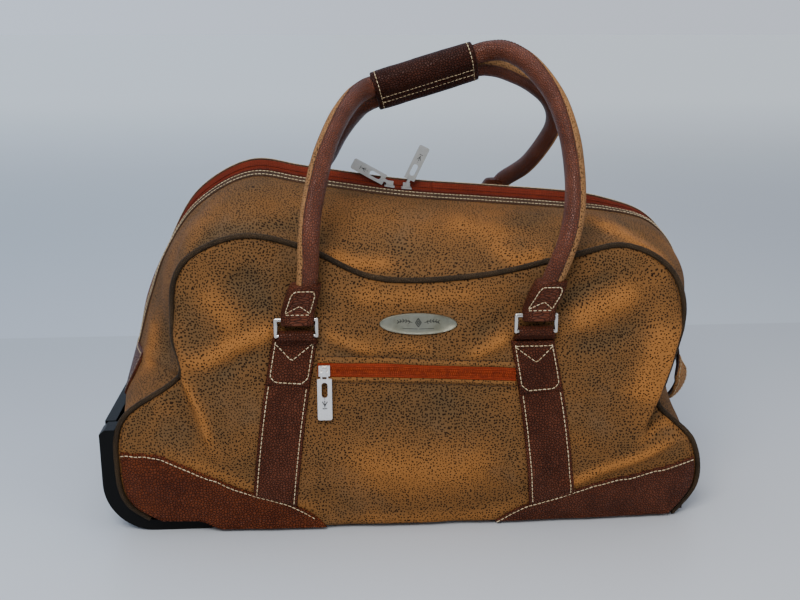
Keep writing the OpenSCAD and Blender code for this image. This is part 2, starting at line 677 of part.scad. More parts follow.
base_panel();
base_boards();
base_runners();
right_base_wrap();
front_panel();
back_panel();
left_end_front();
left_end_back();
right_end_front();
right_end_back();
front_piping();
back_piping();
front_corner_patches();
back_corner_patches();
left_end_trim();
right_end_trim();
end_handle();
front_straps();
back_straps();
badge();
end_zip_runs();
pocket_zipper();
front_flap();
back_flap();
front_main_zip();
back_main_zip();
main_slider_left();
main_slider_right();
main_pull_left();
main_pull_right();
pocket_slider();
pocket_pull();
skid_guards();
wheel_housings();
kick_plate();
wheel_axles();
front_tyre();
rear_tyre();
front_hub();
rear_hub();
front_bearing();
rear_bearing();
trolley_outer_tubes();
trolley_end_block();
trolley_bezel();
trolley_mid_tubes();
trolley_inner_tubes();
trolley_grip();
trolley_button();
release_rods();
button_spring();
front_rings();
rear_rings();
front_handle_roll();
rear_handle_roll();
front_handle_tabs();
rear_handle_tabs();
front_wrap_half();
rear_wrap_half();
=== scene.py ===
"""The looks of a two-tone leather rolling duffel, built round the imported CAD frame.

Lengths are in millimetres until a mesh is made, and the axes are the row frame's:
X from the wheel end to the trolley end, Y from the pocket face to the back, Z up.
"""

import math

import bpy
import numpy as np
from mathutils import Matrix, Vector


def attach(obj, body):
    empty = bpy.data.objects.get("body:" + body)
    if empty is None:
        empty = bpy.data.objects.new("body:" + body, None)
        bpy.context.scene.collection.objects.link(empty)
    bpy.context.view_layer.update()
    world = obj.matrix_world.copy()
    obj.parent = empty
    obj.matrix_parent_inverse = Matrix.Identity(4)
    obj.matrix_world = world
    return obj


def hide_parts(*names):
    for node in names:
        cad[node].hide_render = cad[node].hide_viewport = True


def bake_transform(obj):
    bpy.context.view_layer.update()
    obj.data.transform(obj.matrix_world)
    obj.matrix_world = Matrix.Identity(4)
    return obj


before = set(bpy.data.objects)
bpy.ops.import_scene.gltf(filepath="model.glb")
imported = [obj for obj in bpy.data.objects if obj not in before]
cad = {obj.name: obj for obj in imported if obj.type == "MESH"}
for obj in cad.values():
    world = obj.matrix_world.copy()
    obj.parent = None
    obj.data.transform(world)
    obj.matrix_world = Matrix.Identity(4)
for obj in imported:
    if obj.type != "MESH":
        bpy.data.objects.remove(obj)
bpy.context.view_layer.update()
MM = 0.001

# ---------------------------------------------------------------- shape rules
# The piped seam of a face as [x, z], from its lower left corner up, over the
# top and down again, and the crown of the boxing opposite each of its points.
SEAM = np.array([
    (-246, 12), (-272, 30), (-279, 62), (-272, 110), (-218, 151), (-222, 190),
    (-219, 238), (-199, 263), (-156, 276.5), (-104, 264), (-40, 236), (50, 237),
    (130, 253), (182, 263), (223, 243), (240, 204), (231, 160), (222, 112),
    (255, 76), (262, 34), (240, 3)], float)
CROWN = np.array([
    (-246, 12), (-286, 30), (-290, 62), (-288, 106), (-277, 150), (-266, 197),
    (-245, 242), (-212, 290), (-160, 319), (-104, 312), (-14, 299), (70, 292),
    (140, 286), (195, 280), (240, 266), (268, 230), (266, 182), (259, 130),
    (260, 80), (265, 34), (240, 3)], float)
HALF_DEPTH = 128.0
BULGE = 20.0
FIRST_BOXING, LAST_BOXING, BOXING_SPLIT = 3.05, 18.8, 10.4
PANEL = 4.0
HEM_EDGE, HEM_END = 0.066, 0.146  # the zipper's folded edge, as shares of half depth


def lerp(a, b, f):
    return a + (b - a) * f


def smooth(f):
    f = np.clip(f, 0, 1)
    return f * f * (3 - 2 * f)


def rounded(f):
    """The profile of a turned edge: 0 at the rim, 1 from one radius inwards."""
    return np.sqrt(np.clip(1 - (1 - np.clip(f, 0, 1)) ** 2, 0, 1))


def unit(v):
    v = np.asarray(v, float)
    return v / np.maximum(np.linalg.norm(v, axis=-1, keepdims=True), 1e-9)


def run(points):
    """The distance along a line of points, at each of them."""
    return np.concatenate([[0], np.cumsum(np.linalg.norm(np.diff(points, axis=0), axis=1))])


def curve(points, t):
    """The smooth curve through points, at fractional indices t."""
    p, t = np.asarray(points, float), np.asarray(t, float)
    i = np.clip(np.floor(t).astype(int), 0, len(p) - 2)
    f = (t - i)[..., None]
    a, b, c, d = (p[np.clip(i + k, 0, len(p) - 1)] for k in (-1, 0, 1, 2))
    return b + 0.5 * f * (c - a + f * (2 * a - 5 * b + 4 * c - d + f * (3 * b - a - 3 * c + d)))


def normal(points, t):
    """The way out of a curve in [x, z], to the left of its run."""
    d = unit(curve(points, t + 0.05) - curve(points, t - 0.05))
    return np.stack([-d[..., 1], d[..., 0]], -1)


def bump(x, centre, width):
    return np.exp(-((x - centre) / width) ** 2)


def value_noise(x, y, seed):
    """Smooth noise from -1 to 1 over two coordinates, the same on each run."""
    table = np.random.default_rng(seed).uniform(-1, 1, (64, 64))
    i, j = np.floor(x).astype(int), np.floor(y).astype(int)
    u, v = smooth(x - i), smooth(y - j)
    a, b = table[i % 64, j % 64], table[(i + 1) % 64, j % 64]
    c, d = table[i % 64, (j + 1) % 64], table[(i + 1) % 64, (j + 1) % 64]
    return lerp(lerp(a, b, u), lerp(c, d, u), v)


# Folds and ridges: a line of [x, z] points, its half width, and its height
# outwards (below zero for a hollow). A ridge is also painted lighter, a painted
# highlight with some wear, and a hollow painted darker, painted shade.
FRONT_FOLDS = [
    ([(-217, 156), (-204, 121), (-193, 84)], 5.5, 5.0),
    ([(-216, 165), (-197, 168), (-167, 179)], 9, 3.5),
    ([(-186, 176), (-155, 187), (-128, 200)], 8, 4.5),
    ([(-190, 150), (-165, 168), (-140, 176)], 8, -3.0),
    ([(-172, 252), (-150, 225), (-146, 205)], 15, -4.5),
    ([(-200, 235), (-175, 205), (-160, 196)], 13, 2.5),
    ([(-92, 192), (-67, 181), (-40, 170)], 6, 3.0),
    ([(-88, 176), (-60, 168), (-20, 163)], 5, -2.5),
    ([(-40, 176), (-15, 177), (12, 173)], 5, 1.8),
    ([(38, 166), (62, 176), (80, 188)], 6, 3.2),
    ([(44, 186), (66, 196), (84, 204)], 8, -2.8),
    ([(-80, 232), (-50, 222), (10, 221), (70, 226)], 9, 2.2),
    ([(122, 214), (150, 228), (178, 243)], 8, -3.5),
    ([(128, 192), (160, 209), (200, 226)], 11, 4.5),
    ([(128, 172), (165, 178), (205, 196)], 10, -2.5),
    ([(222, 200), (216, 160), (198, 112)], 15, 5.0),
    ([(-252, 80), (-232, 80), (-205, 68), (-160, 47), (-112, 27), (-84, 12)], 6, 1.8),
    ([(-84, 12), (-20, 8), (60, 8), (104, 27)], 7, 1.6),
    ([(118, 32), (143, 43), (167, 54), (204, 66), (246, 84)], 5.5, 4.5),
    ([(198, 78), (222, 92), (250, 96)], 4.5, 2.5),
    ([(-246, 108), (-228, 98), (-205, 92)], 12, -2.0),
    ([(-60, 120), (0, 112), (60, 118)], 22, -2.2),
    ([(-206, 232), (-204, 205), (-196, 176)], 20, -2.0),
    ([(-30, 150), (30, 140), (90, 150)], 16, -1.0),
    ([(-90, 70), (0, 56), (80, 66)], 26, 3.0),
]
BACK_FOLDS = [
    ([(-210, 190), (-180, 150), (-175, 110)], 8, 3.5),
    ([(-150, 230), (-120, 190), (-60, 170)], 12, -3.0),
    ([(-40, 180), (30, 172), (90, 190)], 10, 2.5),
    ([(120, 225), (160, 190), (215, 170)], 10, 3.5),
    ([(150, 140), (190, 110), (225, 100)], 9, -3.0),
    ([(-200, 70), (-150, 56), (-100, 34)], 7, 2.0),
    ([(110, 38), (170, 58), (240, 80)], 6, 2.5),
    ([(-60, 110), (10, 100), (70, 112)], 24, -2.0),
]
TOP_FOLDS = [
    ([(160, 279), (188, 271), (208, 260), (236, 240)], 4.5, 4.0),
    ([(128, 262), (165, 272), (196, 271), (222, 254), (241, 215)], 5, -3.0),
    ([(-226, 215), (-214, 255), (-180, 280), (-140, 283), (-96, 280)], 5, -3.2),
    ([(-120, 296), (-100, 276), (-86, 262)], 10, -3.0),
    ([(-96, 262), (-60, 250), (-20, 248)], 6, 3.0),
    ([(-30, 268), (-10, 256), (20, 258)], 9, -2.0),
    ([(60, 262), (90, 250), (116, 258)], 7, 2.5),
    ([(20, 280), (60, 272), (96, 268)], 8, 1.6),
    ([(-232, 200), (-238, 168), (-236, 146)], 7, -4.5),
    ([(-252, 190), (-256, 158), (-262, 136)], 8, 2.5),
]


def relief(x, z, folds):
    """Height of the folds at x, z, and how much painted highlight with wear and how much painted shade lie
    there.
    """
    height, wear_and_highlight, painted_shade = np.zeros_like(x), np.zeros_like(x), np.zeros_like(x)
    for line, width, tall in folds:
        line = np.array(line, float)
        start = run(line)
        best, along = np.full(x.shape, 1e9), np.zeros_like(x)
        for a, b, far in zip(line, line[1:], start):
            length = np.linalg.norm(b - a)
            d = (b - a) / length
            s = np.clip((x - a[0]) * d[0] + (z - a[1]) * d[1], 0, length)
            off = np.hypot(x - a[0] - s * d[0], z - a[1] - s * d[1])
            near = off < best
            best, along = np.where(near, off, best), np.where(near, far + s, along)
        q = along / start[-1]
        fade = smooth(q / 0.25) * smooth((1 - q) / 0.25) * 0.8 + 0.2
        profile = np.exp(-(best / width) ** 2) * fade
        height += tall * profile
        # ridges add to the painted highlight with wear, hollows to the painted shade
        tone = wear_and_highlight if tall > 0 else painted_shade
        tone += min(abs(tall) / 3.5, 1.3) * profile
    return height, np.clip(wear_and_highlight, 0, 1), np.clip(painted_shade, 0, 1)


def seam_top(x):
    return np.interp(x, SEAM[6:16, 0], SEAM[6:16, 1])


# Where the full face rolls over its sunken sides: heights, the fold's x at each
# of them, and how deep the leather beyond it lies.
LEFT_ROLL = ([60, 85, 121, 158, 188, 224, 250], [-188, -194, -204, -218, -222, -220, -219],
             [0, 1.5, 6, 9, 9, 5, 0])
RIGHT_ROLL = ([78, 88, 96, 114, 134, 153, 187, 215], [204, 206, 206, 213, 221, 227, 237, 238],
              [0, 7, 14, 17, 16, 13, 7, 0])


def rolls(x, z, front):
    """How far the leather beyond the two rolls is sunk, at x, z."""
    left_x, right_x = np.interp(z, *LEFT_ROLL[:2]), np.interp(z, *RIGHT_ROLL[:2])
    left = np.interp(z, LEFT_ROLL[0], LEFT_ROLL[2]) * smooth((left_x + 1 - x) / 7)
    right = np.interp(z, RIGHT_ROLL[0], RIGHT_ROLL[2]) * smooth((x - right_x) / 7)
    return (1.0 if front else 0.35) * (left + right)


def face_depth(x, z, front=True, folds=True):
    """Distance of a face's surface from the middle plane at x, z."""
    x, z = np.asarray(x, float), np.asarray(z, float)
    q = np.clip(z / seam_top(x), 0, 1)
    edge = np.clip(1 - (np.abs(x + 10) / 290) ** 5, 0, 1)
    d = HALF_DEPTH + BULGE * edge * (1 - q ** 2.5) * (0.6 + 0.4 * smooth(q / 0.3))
    d = d - rolls(x, z, front)
    if folds:
        inside = smooth(edge * 2.2) * smooth((1 - q) * 7)
        d = d + relief(x, z, FRONT_FOLDS if front else BACK_FOLDS)[0] * inside
        d = d + (1.1 * value_noise(x / 34, z / 26, 5) + 0.5 * value_noise(x / 13, z / 12, 6)) * inside
    return d


def seam_depth(t, front):
    p = curve(SEAM, t)
    return face_depth(p[..., 0], p[..., 1], front, folds=False)


def boxing(t, s, off=0.0, front=True, folds=True):
    """A point of the boxing: t along the arch, s from 1 at the piping to 0 at
    the zipper, off outwards from its surface. Y is positive, for either side."""
    t, s = np.broadcast_arrays(np.asarray(t, float), np.asarray(s, float))
    p, k = curve(SEAM, t), curve(CROWN, t)
    peak = 2 - 0.95 * bump(t, 5.2, 1.25)
    c = p + (k - p) * (1 - s ** peak)[..., None]
    y = s * (seam_depth(t, front) - 5.4)
    height = off
    if folds:
        near = smooth((1 - s) * 9) * smooth((s - 0.14) * 9)
        h = relief(c[..., 0], c[..., 1], TOP_FOLDS)[0] if front else 0
        n = 1.6 * value_noise(t * 1.3 + 3, s * 3.1, 8) + 0.7 * value_noise(t * 3.7, s * 7, 9)
        height = off + (h + n) * near
    # the zipper leans to the pocket side: its back tape rises behind its front one
    lean = smooth((t - 5.6) / 1.6) * (1 - 0.6 * smooth((t - 12) / 2))
    if front:
        c[..., 1] -= 3.6 * lean * smooth((s - 0.05) / 0.10) * (1 - smooth((s - 0.2) / 0.5))
    else:
        c[..., 1] += 8.5 * lean * smooth((s - 0.005) / 0.065) * (1 - smooth((s - 0.085) / 0.42))
    c = c + normal(CROWN, t) * (height * np.sqrt(1 - 0.7 * s * s))[..., None]
    return np.stack([c[..., 0], y + height * s * 0.8, c[..., 1]], -1)


def base_line(x):
    return 3 + 9 * smooth((-185 - x) / 25)


def face_xz(u, v):
    """[x, z] of a face at u across and v up, blended from its four edges."""
    left, right, top = curve(SEAM, 7 * v), curve(SEAM, 20 - 7 * v), curve(SEAM, 7 + 6 * u)
    low = np.stack([lerp(SEAM[0, 0], SEAM[20, 0], u)] * 2, -1)
    low[..., 1] = lerp(base_line(low[..., 0]), SEAM[20, 1], np.clip((u - 0.9) * 10, 0, 1))
    u, v = u[..., None], v[..., None]
    return ((1 - v) * low + v * top + (1 - u) * left + u * right - (1 - u) * (1 - v) * SEAM[0]
            - u * (1 - v) * SEAM[20] - (1 - u) * v * SEAM[7] - u * v * SEAM[13])


def on_face(x, z, off=0.0, front=True):
    """A point off the face, with Y positive for either side."""
    x, z = np.asarray(x, float), np.asarray(z, float)
    return np.stack([x, face_depth(x, z, front) + off, z], -1)


# ---------------------------------------------------------------- mesh makers
def to_side(points, front):
    """Y positive to the side's own sign."""
    return np.asarray(points, float) * (np.array([1, -1, 1]) if front else 1.0)


def facing(front):
    """The way out of a face."""
    return np.array([0, -1.0 if front else 1.0, 0])


def make(name, verts, faces, materials, face_material=None, uv=None, attrs=None, flat=False):
    """A mesh object from points in millimetres. uv is one [u, v] for each point."""
    mesh = bpy.data.meshes.new(name)
    mesh.from_pydata((np.asarray(verts, float) * MM).tolist(), [], [tuple(map(int, f)) for f in faces])
    for material in materials:
        mesh.materials.append(material)
    if face_material is not None:
        mesh.polygons.foreach_set("material_index", np.asarray(face_material, np.int32))
    mesh.polygons.foreach_set("use_smooth", np.full(len(mesh.polygons), not flat))
    if uv is not None:
        corners = np.zeros(len(mesh.loops), np.int32)
        mesh.loops.foreach_get("vertex_index", corners)
        layer = mesh.uv_layers.new(name="metres")
        layer.data.foreach_set("uv", (np.asarray(uv, float)[corners] * MM).astype(np.float32).ravel())
    for key, values in (attrs or {}).items():
        layer = mesh.attributes.new(key, "FLOAT", "POINT")
        layer.data.foreach_set("value", np.asarray(values, np.float32).ravel())
    mesh.update()
    piece = bpy.data.objects.new(name, mesh)
    bpy.context.scene.collection.objects.link(piece)
    return piece


def outward(piece):
    """Turns a closed mesh's faces outwards."""
    mesh = piece.data
    mesh.calc_loop_triangles()
    co = np.array([v.co for v in mesh.vertices], float)
    a, b, c = (co[[t.vertices[k] for t in mesh.loop_triangles]] for k in range(3))
    if np.einsum("ij,ij->i", a, np.cross(b, c)).sum() < 0:
        mesh.flip_normals()
    return piece


def grid_uv(points):
    """Distances along and across a grid of points, as its own flat coordinates."""
    down, over = run(points[:, points.shape[1] // 2]), run(points[points.shape[0] // 2])
    return np.stack(np.meshgrid(over, down), -1)


def sheet_solid(name, outer, inner, materials, front=True, uv=None, attrs=None):
    """A closed sheet between two grids of points. The first material is its
    outside and rim, and the last its inside."""
    rows, cols = outer.shape[:2]
    n = rows * cols
    idx = np.arange(n).reshape(rows, cols)
    sheet = np.stack([idx[:-1, :-1], idx[1:, :-1], idx[1:, 1:], idx[:-1, 1:]], -1).reshape(-1, 4)
    rim = np.concatenate([idx[0, :-1], idx[:-1, -1], idx[-1, :0:-1], idx[:0:-1, 0]])
    after = np.roll(rim, -1)
    walls = np.stack([rim, after, after + n, rim + n], -1)
    faces = np.concatenate([sheet, sheet[:, ::-1] + n, walls])
    kinds = np.repeat([0, len(materials) - 1, 0], [len(sheet), len(sheet), len(walls)])
    verts = np.concatenate([outer.reshape(-1, 3), inner.reshape(-1, 3)])
    uv = grid_uv(outer) if uv is None else uv
    uvs = np.concatenate([uv.reshape(-1, 2)] * 2)
    doubled = {k: np.concatenate([np.ravel(v)] * 2) for k, v in (attrs or {}).items()}
    return outward(make(name, to_side(verts, front), faces.tolist(), materials, kinds, uvs, doubled))


def ring_faces(rings, sides):
    """Quads between rings of points, one ring after another, and a cap at each end."""
    i, j = np.arange(rings - 1)[:, None] * sides, np.arange(sides)[None]
    after = (j + 1) % sides
    quads = np.stack([i + j, i + after, i + sides + after, i + sides + j], -1).reshape(-1, 4)
    return quads.tolist() + [list(range(sides))[::-1], list(range((rings - 1) * sides, rings * sides))]


def lofted(name, rings, material, uv=None):
    """A closed piece through rings of points."""
    faces = ring_faces(len(rings), len(rings[0]))
    return outward(make(name, np.concatenate(rings), faces, [material], uv=uv))


def frames(path, towards=None):
    """Directions along a path, and across it both ways. towards has one point
    for each of the path's, which the first across direction leaves."""
    path = np.asarray(path, float)
    along = unit(np.gradient(path, axis=0))
    if towards is None:
        across = [unit(np.cross(along[0], [0.13, 0.97, 0.2]))]
        for d in along[1:]:
            across.append(unit(across[-1] - d * (across[-1] @ d)))
        across = np.array(across)
    else:
        away = path - np.asarray(towards, float)
        across = unit(away - along * np.einsum("ij,ij->i", away, along)[:, None])
    return along, across, np.cross(along, across)


def tube(name, path, radius, material, sides=12):
    """A round tube along a path, with one radius for each of its points."""
    _, n, b = frames(path)
    ang = np.linspace(0, 2 * np.pi, sides, endpoint=False)
    around = np.cos(ang)[None, :, None] * n[:, None] + np.sin(ang)[None, :, None] * b[:, None]
    uv = np.stack([np.repeat(run(path), sides), np.tile(ang * np.mean(radius), len(path))], -1)
    return lofted(name, path[:, None] + radius[:, None, None] * around, material, uv)


def spread_along(path, pitch, phase=0.5):
    """Points and directions every pitch along a line of points."""
    path = np.asarray(path, float)
    far = run(path)
    count = max(1, int(far[-1] / pitch))
    at = (np.arange(count) + phase) * far[-1] / count
    before, after = (np.stack([np.interp(np.clip(at + e * pitch, 0, far[-1]), far, path[:, k])
                               for k in range(3)], -1) for e in (-0.4, 0.4))
    return (before + after) / 2, unit(after - before)


def dense(line, step=2.0):
    """A line of points again, with points about step apart."""
    line = np.asarray(line, float)
    far = run(line)
    at = np.linspace(0, far[-1], max(2, int(far[-1] / step)))
    return np.stack([np.interp(at, far, line[:, k]) for k in range(line.shape[1])], -1)


CAPSULE_AT = np.array([-1, -0.72, 0, 0.72, 1.0])
CAPSULE_R = np.array([0.25, 0.85, 1, 0.85, 0.25])


def beads(centres, along, length, radius, lift, sides=6, flat=1.0):
    """Points and faces of many small capsules, for stitches and zipper coils."""
    centres, along = np.asarray(centres, float), unit(along)
    up = np.broadcast_to(lift, centres.shape)
    n = unit(up - along * np.einsum("ij,ij->i", up, along)[:, None])
    b = np.cross(along, n)
    ang = np.linspace(0, 2 * np.pi, sides, endpoint=False)
    ring = np.cos(ang)[None, :, None] * n[:, None] * flat + np.sin(ang)[None, :, None] * b[:, None]
    body = (centres[:, None, None] + along[:, None, None] * (CAPSULE_AT * length / 2)[None, :, None, None]
            + ring[:, None] * (CAPSULE_R * radius)[None, :, None, None])
    one, size = ring_faces(len(CAPSULE_AT), sides), len(CAPSULE_AT) * sides
    return body.reshape(-1, 3), [[v + i * size for v in f] for i in range(len(centres)) for f in one]


def joined(name, parts, material):
    """One object from several (points, faces) pairs."""
    faces, base = [], 0
    for points, part in parts:
        faces += [[i + base for i in face] for face in part]
        base += len(points)
    return make(name, np.concatenate([points for points, _ in parts]), faces, [material])


def stitched(name, lines, material, lift, pitch=4.2, length=3.5, radius=0.5):
    """Rows of stitches along lines of points. lift is the way out of the
    leather: one for all the lines, or one for each."""
    lifts = np.broadcast_to(lift, (len(lines), 3))
    return joined(name, [beads(*spread_along(line, pitch), length, radius, way, flat=0.8)
                         for line, way in zip(lines, lifts)], material)


# ---------------------------------------------------------------- materials
def shader(name):
    """A new material, with its node tree and its own shader node."""
    material = bpy.data.materials.new(name)
    material.use_nodes = True
    return material, material.node_tree, material.node_tree.nodes["Principled BSDF"]


def wire(tree, made, inputs):
    """Sets a node's inputs, or links them where the value is a socket."""
    for key, value in inputs.items():
        if isinstance(value, bpy.types.NodeSocket):
            tree.links.new(value, made.inputs[key])
        else:
            made.inputs[key].default_value = value


def node(tree, kind, inputs, **props):
    made = tree.nodes.new("ShaderNode" + kind)
    for key, value in props.items():
        setattr(made, key, value)
    wire(tree, made, inputs)
    return made


def rgb(color):
    return (*color, 1.0)


def mix(tree, factor, a, b, blend="MIX"):
    """Two colours mixed; each is a tuple or a socket."""
    a, b = (c if isinstance(c, bpy.types.NodeSocket) else rgb(c) for c in (a, b))
    return node(tree, "Mix", {0: factor, 6: a, 7: b}, data_type="RGBA", blend_type=blend).outputs[2]


def spread(tree, value, low, high, to_low=0.0, to_high=1.0):
    """value taken smoothly from low..high to to_low..to_high."""
    return node(tree, "MapRange", {0: value, 1: low, 2: high, 3: to_low, 4: to_high},
                interpolation_type="SMOOTHSTEP").outputs[0]


def arithmetic(tree):
    """Functions that add, multiply and subtract, and keep the smaller of two."""
    def operation(kind):
        return lambda a, b: node(tree, "Math", {0: a, 1: b}, operation=kind).outputs[0]
    return [operation(kind) for kind in ("ADD", "MULTIPLY", "SUBTRACT", "MINIMUM")]


def noise(tree, vector, scale, detail=3.0, rough=0.55, distortion=0.0):
    return node(tree, "TexNoise", {"Vector": vector, "Scale": scale, "Detail": detail,
                                   "Roughness": rough, "Distortion": distortion}).outputs[0]


def wobbled(tree, vector, scale, amount):
    """vector moved about a little, so that a cell pattern isn't too neat."""
    cloud = node(tree, "TexNoise", {"Vector": vector, "Scale": scale, "Detail": 2.0})
    moved = node(tree, "VectorMath", {0: cloud.outputs[1], 1: (0.5, 0.5, 0.5)}, operation="SUBTRACT")
    scaled = node(tree, "VectorMath", {0: moved.outputs[0], 3: amount}, operation="SCALE")
    return node(tree, "VectorMath", {0: vector, 1: scaled.outputs[0]}, operation="ADD").outputs[0]


def stretched(tree, vector, scale, turn=(0, 0, 0)):
    return node(tree, "Mapping", {"Vector": vector, "Rotation": turn, "Scale": scale}).outputs[0]


def grained(tree, color, grain, factor):
    """color made uneven by a fine grain."""
    return mix(tree, factor, color, node(tree, "ValToRGB", {0: grain}).outputs[0], "SOFT_LIGHT")


def finish(tree, surface, color, rough, spec, height, depth):
    """Links up a shader: its colour, roughness and specular level, and its bump."""
    bumped = node(tree, "Bump", {"Height": height, "Strength": 1.0, "Distance": depth}).outputs[0]
    wire(tree, surface, {"Base Color": color, "Roughness": rough, "Normal": bumped})
    if spec is not None:
        surface.inputs["Specular IOR Level"].default_value = spec


def attribute(tree, name):
    return node(tree, "Attribute", {}, attribute_name=name).outputs["Fac"]


def coordinates(tree, kind="UV"):
    return node(tree, "TexCoord", {}).outputs[kind]


def nubuck(name, base=(0.164, 0.075, 0.024), worn=(0.38, 0.150, 0.036), dusky=(0.100, 0.062, 0.029),
           spot=(0.013, 0.006, 0.003)):
    """Oiled nubuck with a printed pattern of small dark pits, lighter towards worn
    on its ridges, a painted highlight with some wear, and darker towards dusky in
    its hollows, painted shade; both also come and go in random clouds."""
    material, tree, surface = shader(name)
    add, times, less, smaller = arithmetic(tree)
    uv = coordinates(tree)
    wear_and_highlight, painted_shade = attribute(tree, "wear_and_highlight"), attribute(tree, "painted_shade")
    cloud = spread(tree, noise(tree, uv, 11, 4, 0.6), 0.40, 0.66)
    fine_cloud = spread(tree, noise(tree, uv, 45, 4, 0.6), 0.35, 0.75)
    # darker towards dusky in random clouds and under the painted shade of the hollows
    dusk = add(times(cloud, 0.34), times(painted_shade, 0.66))
    dusk = smaller(add(dusk, times(fine_cloud, 0.16)), 1.0)
    color = mix(tree, dusk, base, dusky)
    glow = spread(tree, noise(tree, uv, 17, 3, 0.5, 0.6), 0.52, 0.74)
    # lighter towards worn under the painted highlight of ridges and rolls, partly wear, and in random patches
    worn_and_highlight_at = smaller(add(times(wear_and_highlight, 0.85), times(glow, 0.22)), 1.0)
    color = mix(tree, worn_and_highlight_at, color, worn)
    cells = wobbled(tree, wobbled(tree, uv, 28, 0.012), 150, 0.0007)
    pits = node(tree, "TexVoronoi", {"Vector": cells, "Scale": 390.0, "Randomness": 0.75},
                voronoi_dimensions="2D").outputs[0]
    size = spread(tree, noise(tree, uv, 90, 2), 0.3, 0.7, 0.18, 0.265)
    # the pits grow under painted shade and shrink under painted highlight
    size = add(size, times(less(dusk, worn_and_highlight_at), 0.06))
    dots = spread(tree, less(pits, size), -0.04, 0.08, 1.0, 0.0)
    grain = noise(tree, uv, 1400, 3, 0.6)
    haze = spread(tree, noise(tree, uv, 14, 4, 0.65), 0.50, 0.72)
    color = mix(tree, times(haze, 0.35), color, (0.150, 0.094, 0.052))
    color = mix(tree, times(dots, less(0.96, times(haze, 0.28))), color, spot)
    height = add(times(dots, -0.55), times(grain, 0.35))
    height = add(height, times(fine_cloud, 0.5))
    finish(tree, surface, grained(tree, color, grain, 0.55), spread(tree, grain, 0.2, 0.8, 0.62, 0.82),
           0.09, height, 0.00055)
    return material


def pebbled(name, base=(0.066, 0.0165, 0.0068), deep=(0.009, 0.0027, 0.0016), tint=(0.135, 0.038, 0.018),
            cell=2.4, rough=(0.30, 0.50), spec=0.13):
    """Coated leather with a raised pebble grain, each pebble about cell mm wide."""
    material, tree, surface = shader(name)
    add, times, _, _ = arithmetic(tree)
    uv = coordinates(tree)
    cells = wobbled(tree, uv, 330, 0.0013)
    edge = node(tree, "TexVoronoi", {"Vector": cells, "Scale": 1000.0 / cell, "Randomness": 0.95},
                voronoi_dimensions="2D", feature="DISTANCE_TO_EDGE").outputs[0]
    domes = spread(tree, edge, 0.02, 0.30)
    cloud = spread(tree, noise(tree, uv, 24, 4, 0.6), 0.3, 0.72)
    grain = noise(tree, uv, 1700, 3, 0.6)
    color = mix(tree, cloud, base, tint)
    # painted shade: darker towards deep in the grooves between pebbles
    color = mix(tree, spread(tree, edge, 0.0, 0.17, 0.85, 0.0), color, deep)
    color = mix(tree, spread(tree, edge, 0.25, 0.5, 0.0, 0.35), color, tint)
    height = add(add(domes, times(grain, 0.18)), times(cloud, 0.6))
    finish(tree, surface, grained(tree, color, grain, 0.35),
           spread(tree, domes, 0.0, 1.0, rough[1], rough[0]), spec, height, 0.00075)
    return material


def cloth(name, base, dark, pitch, rough=0.8):
    """Woven tape or lining: two crossed sets of threads."""
    material, tree, surface = shader(name)
    add, times, less, _ = arithmetic(tree)
    uv = coordinates(tree)
    wave = {"Vector": uv, "Scale": 500.0 / pitch / math.pi, "Distortion": 0.6, "Detail": 1.0,
            "Detail Scale": 2.0}
    waves = [node(tree, "TexWave", wave, bands_direction=axis).outputs[1] for axis in ("X", "Y")]
    weave = times(add(*waves), 0.5)
    color = mix(tree, times(less(1.0, weave), 0.8), base, dark)
    color = mix(tree, spread(tree, noise(tree, uv, 40, 4), 0.3, 0.7, 0.0, 0.5), color, dark)
    finish(tree, surface, color, rough, 0.15, weave, 0.0004)
    return material


def thread(name, base, dark):
    material, tree, surface = shader(name)
    at = coordinates(tree, "Object")
    color = mix(tree, spread(tree, noise(tree, at, 260, 2), 0.3, 0.75), base, dark)
    finish(tree, surface, color, 0.7, 0.2, noise(tree, at, 2200, 2), 0.0003)
    return material


def metal(name, base, rough, brushed=0.0, dull=None):
    """Plated or brushed metal with faint smears and rubbed spots."""
    material, tree, surface = shader(name)
    at = coordinates(tree, "Object")
    lines = noise(tree, stretched(tree, at, (40, 1500, 1500) if brushed else (300, 300, 300)), 1.0, 4, 0.6)
    smear = noise(tree, at, 55, 4, 0.6)
    color = mix(tree, spread(tree, smear, 0.42, 0.75), base, dull or tuple(0.72 * c for c in base))
    surface.inputs["Metallic"].default_value = 1.0
    finish(tree, surface, color, spread(tree, smear, 0.2, 0.8, rough * 0.8, rough * 1.35), None,
           lines, 0.00004 + 0.00006 * brushed)
    return material


def moulded(name, base, worn, rough=0.5, grain_scale=900, depth=0.0002, spec=0.5):
    """Moulded plastic or rubber: spark-eroded grain with rubbed, dusty patches."""
    material, tree, surface = shader(name)
    _, times, _, _ = arithmetic(tree)
    at = coordinates(tree, "Object")
    rubbed = spread(tree, noise(tree, at, 28, 5, 0.65), 0.52, 0.78)
    scratches = noise(tree, stretched(tree, at, (60, 900, 900), (0.5, 0.3, 0.7)), 1.0, 2)
    scuff = times(spread(tree, scratches, 0.62, 0.72), rubbed)
    color = mix(tree, times(rubbed, 0.5), base, worn)
    color = mix(tree, times(scuff, 0.5), color, tuple(min(1, 2.2 * c) for c in worn))
    finish(tree, surface, color, spread(tree, rubbed, 0.0, 1.0, rough, min(1, rough + 0.18)), spec,
           noise(tree, at, grain_scale, 3, 0.6), depth)
    return material


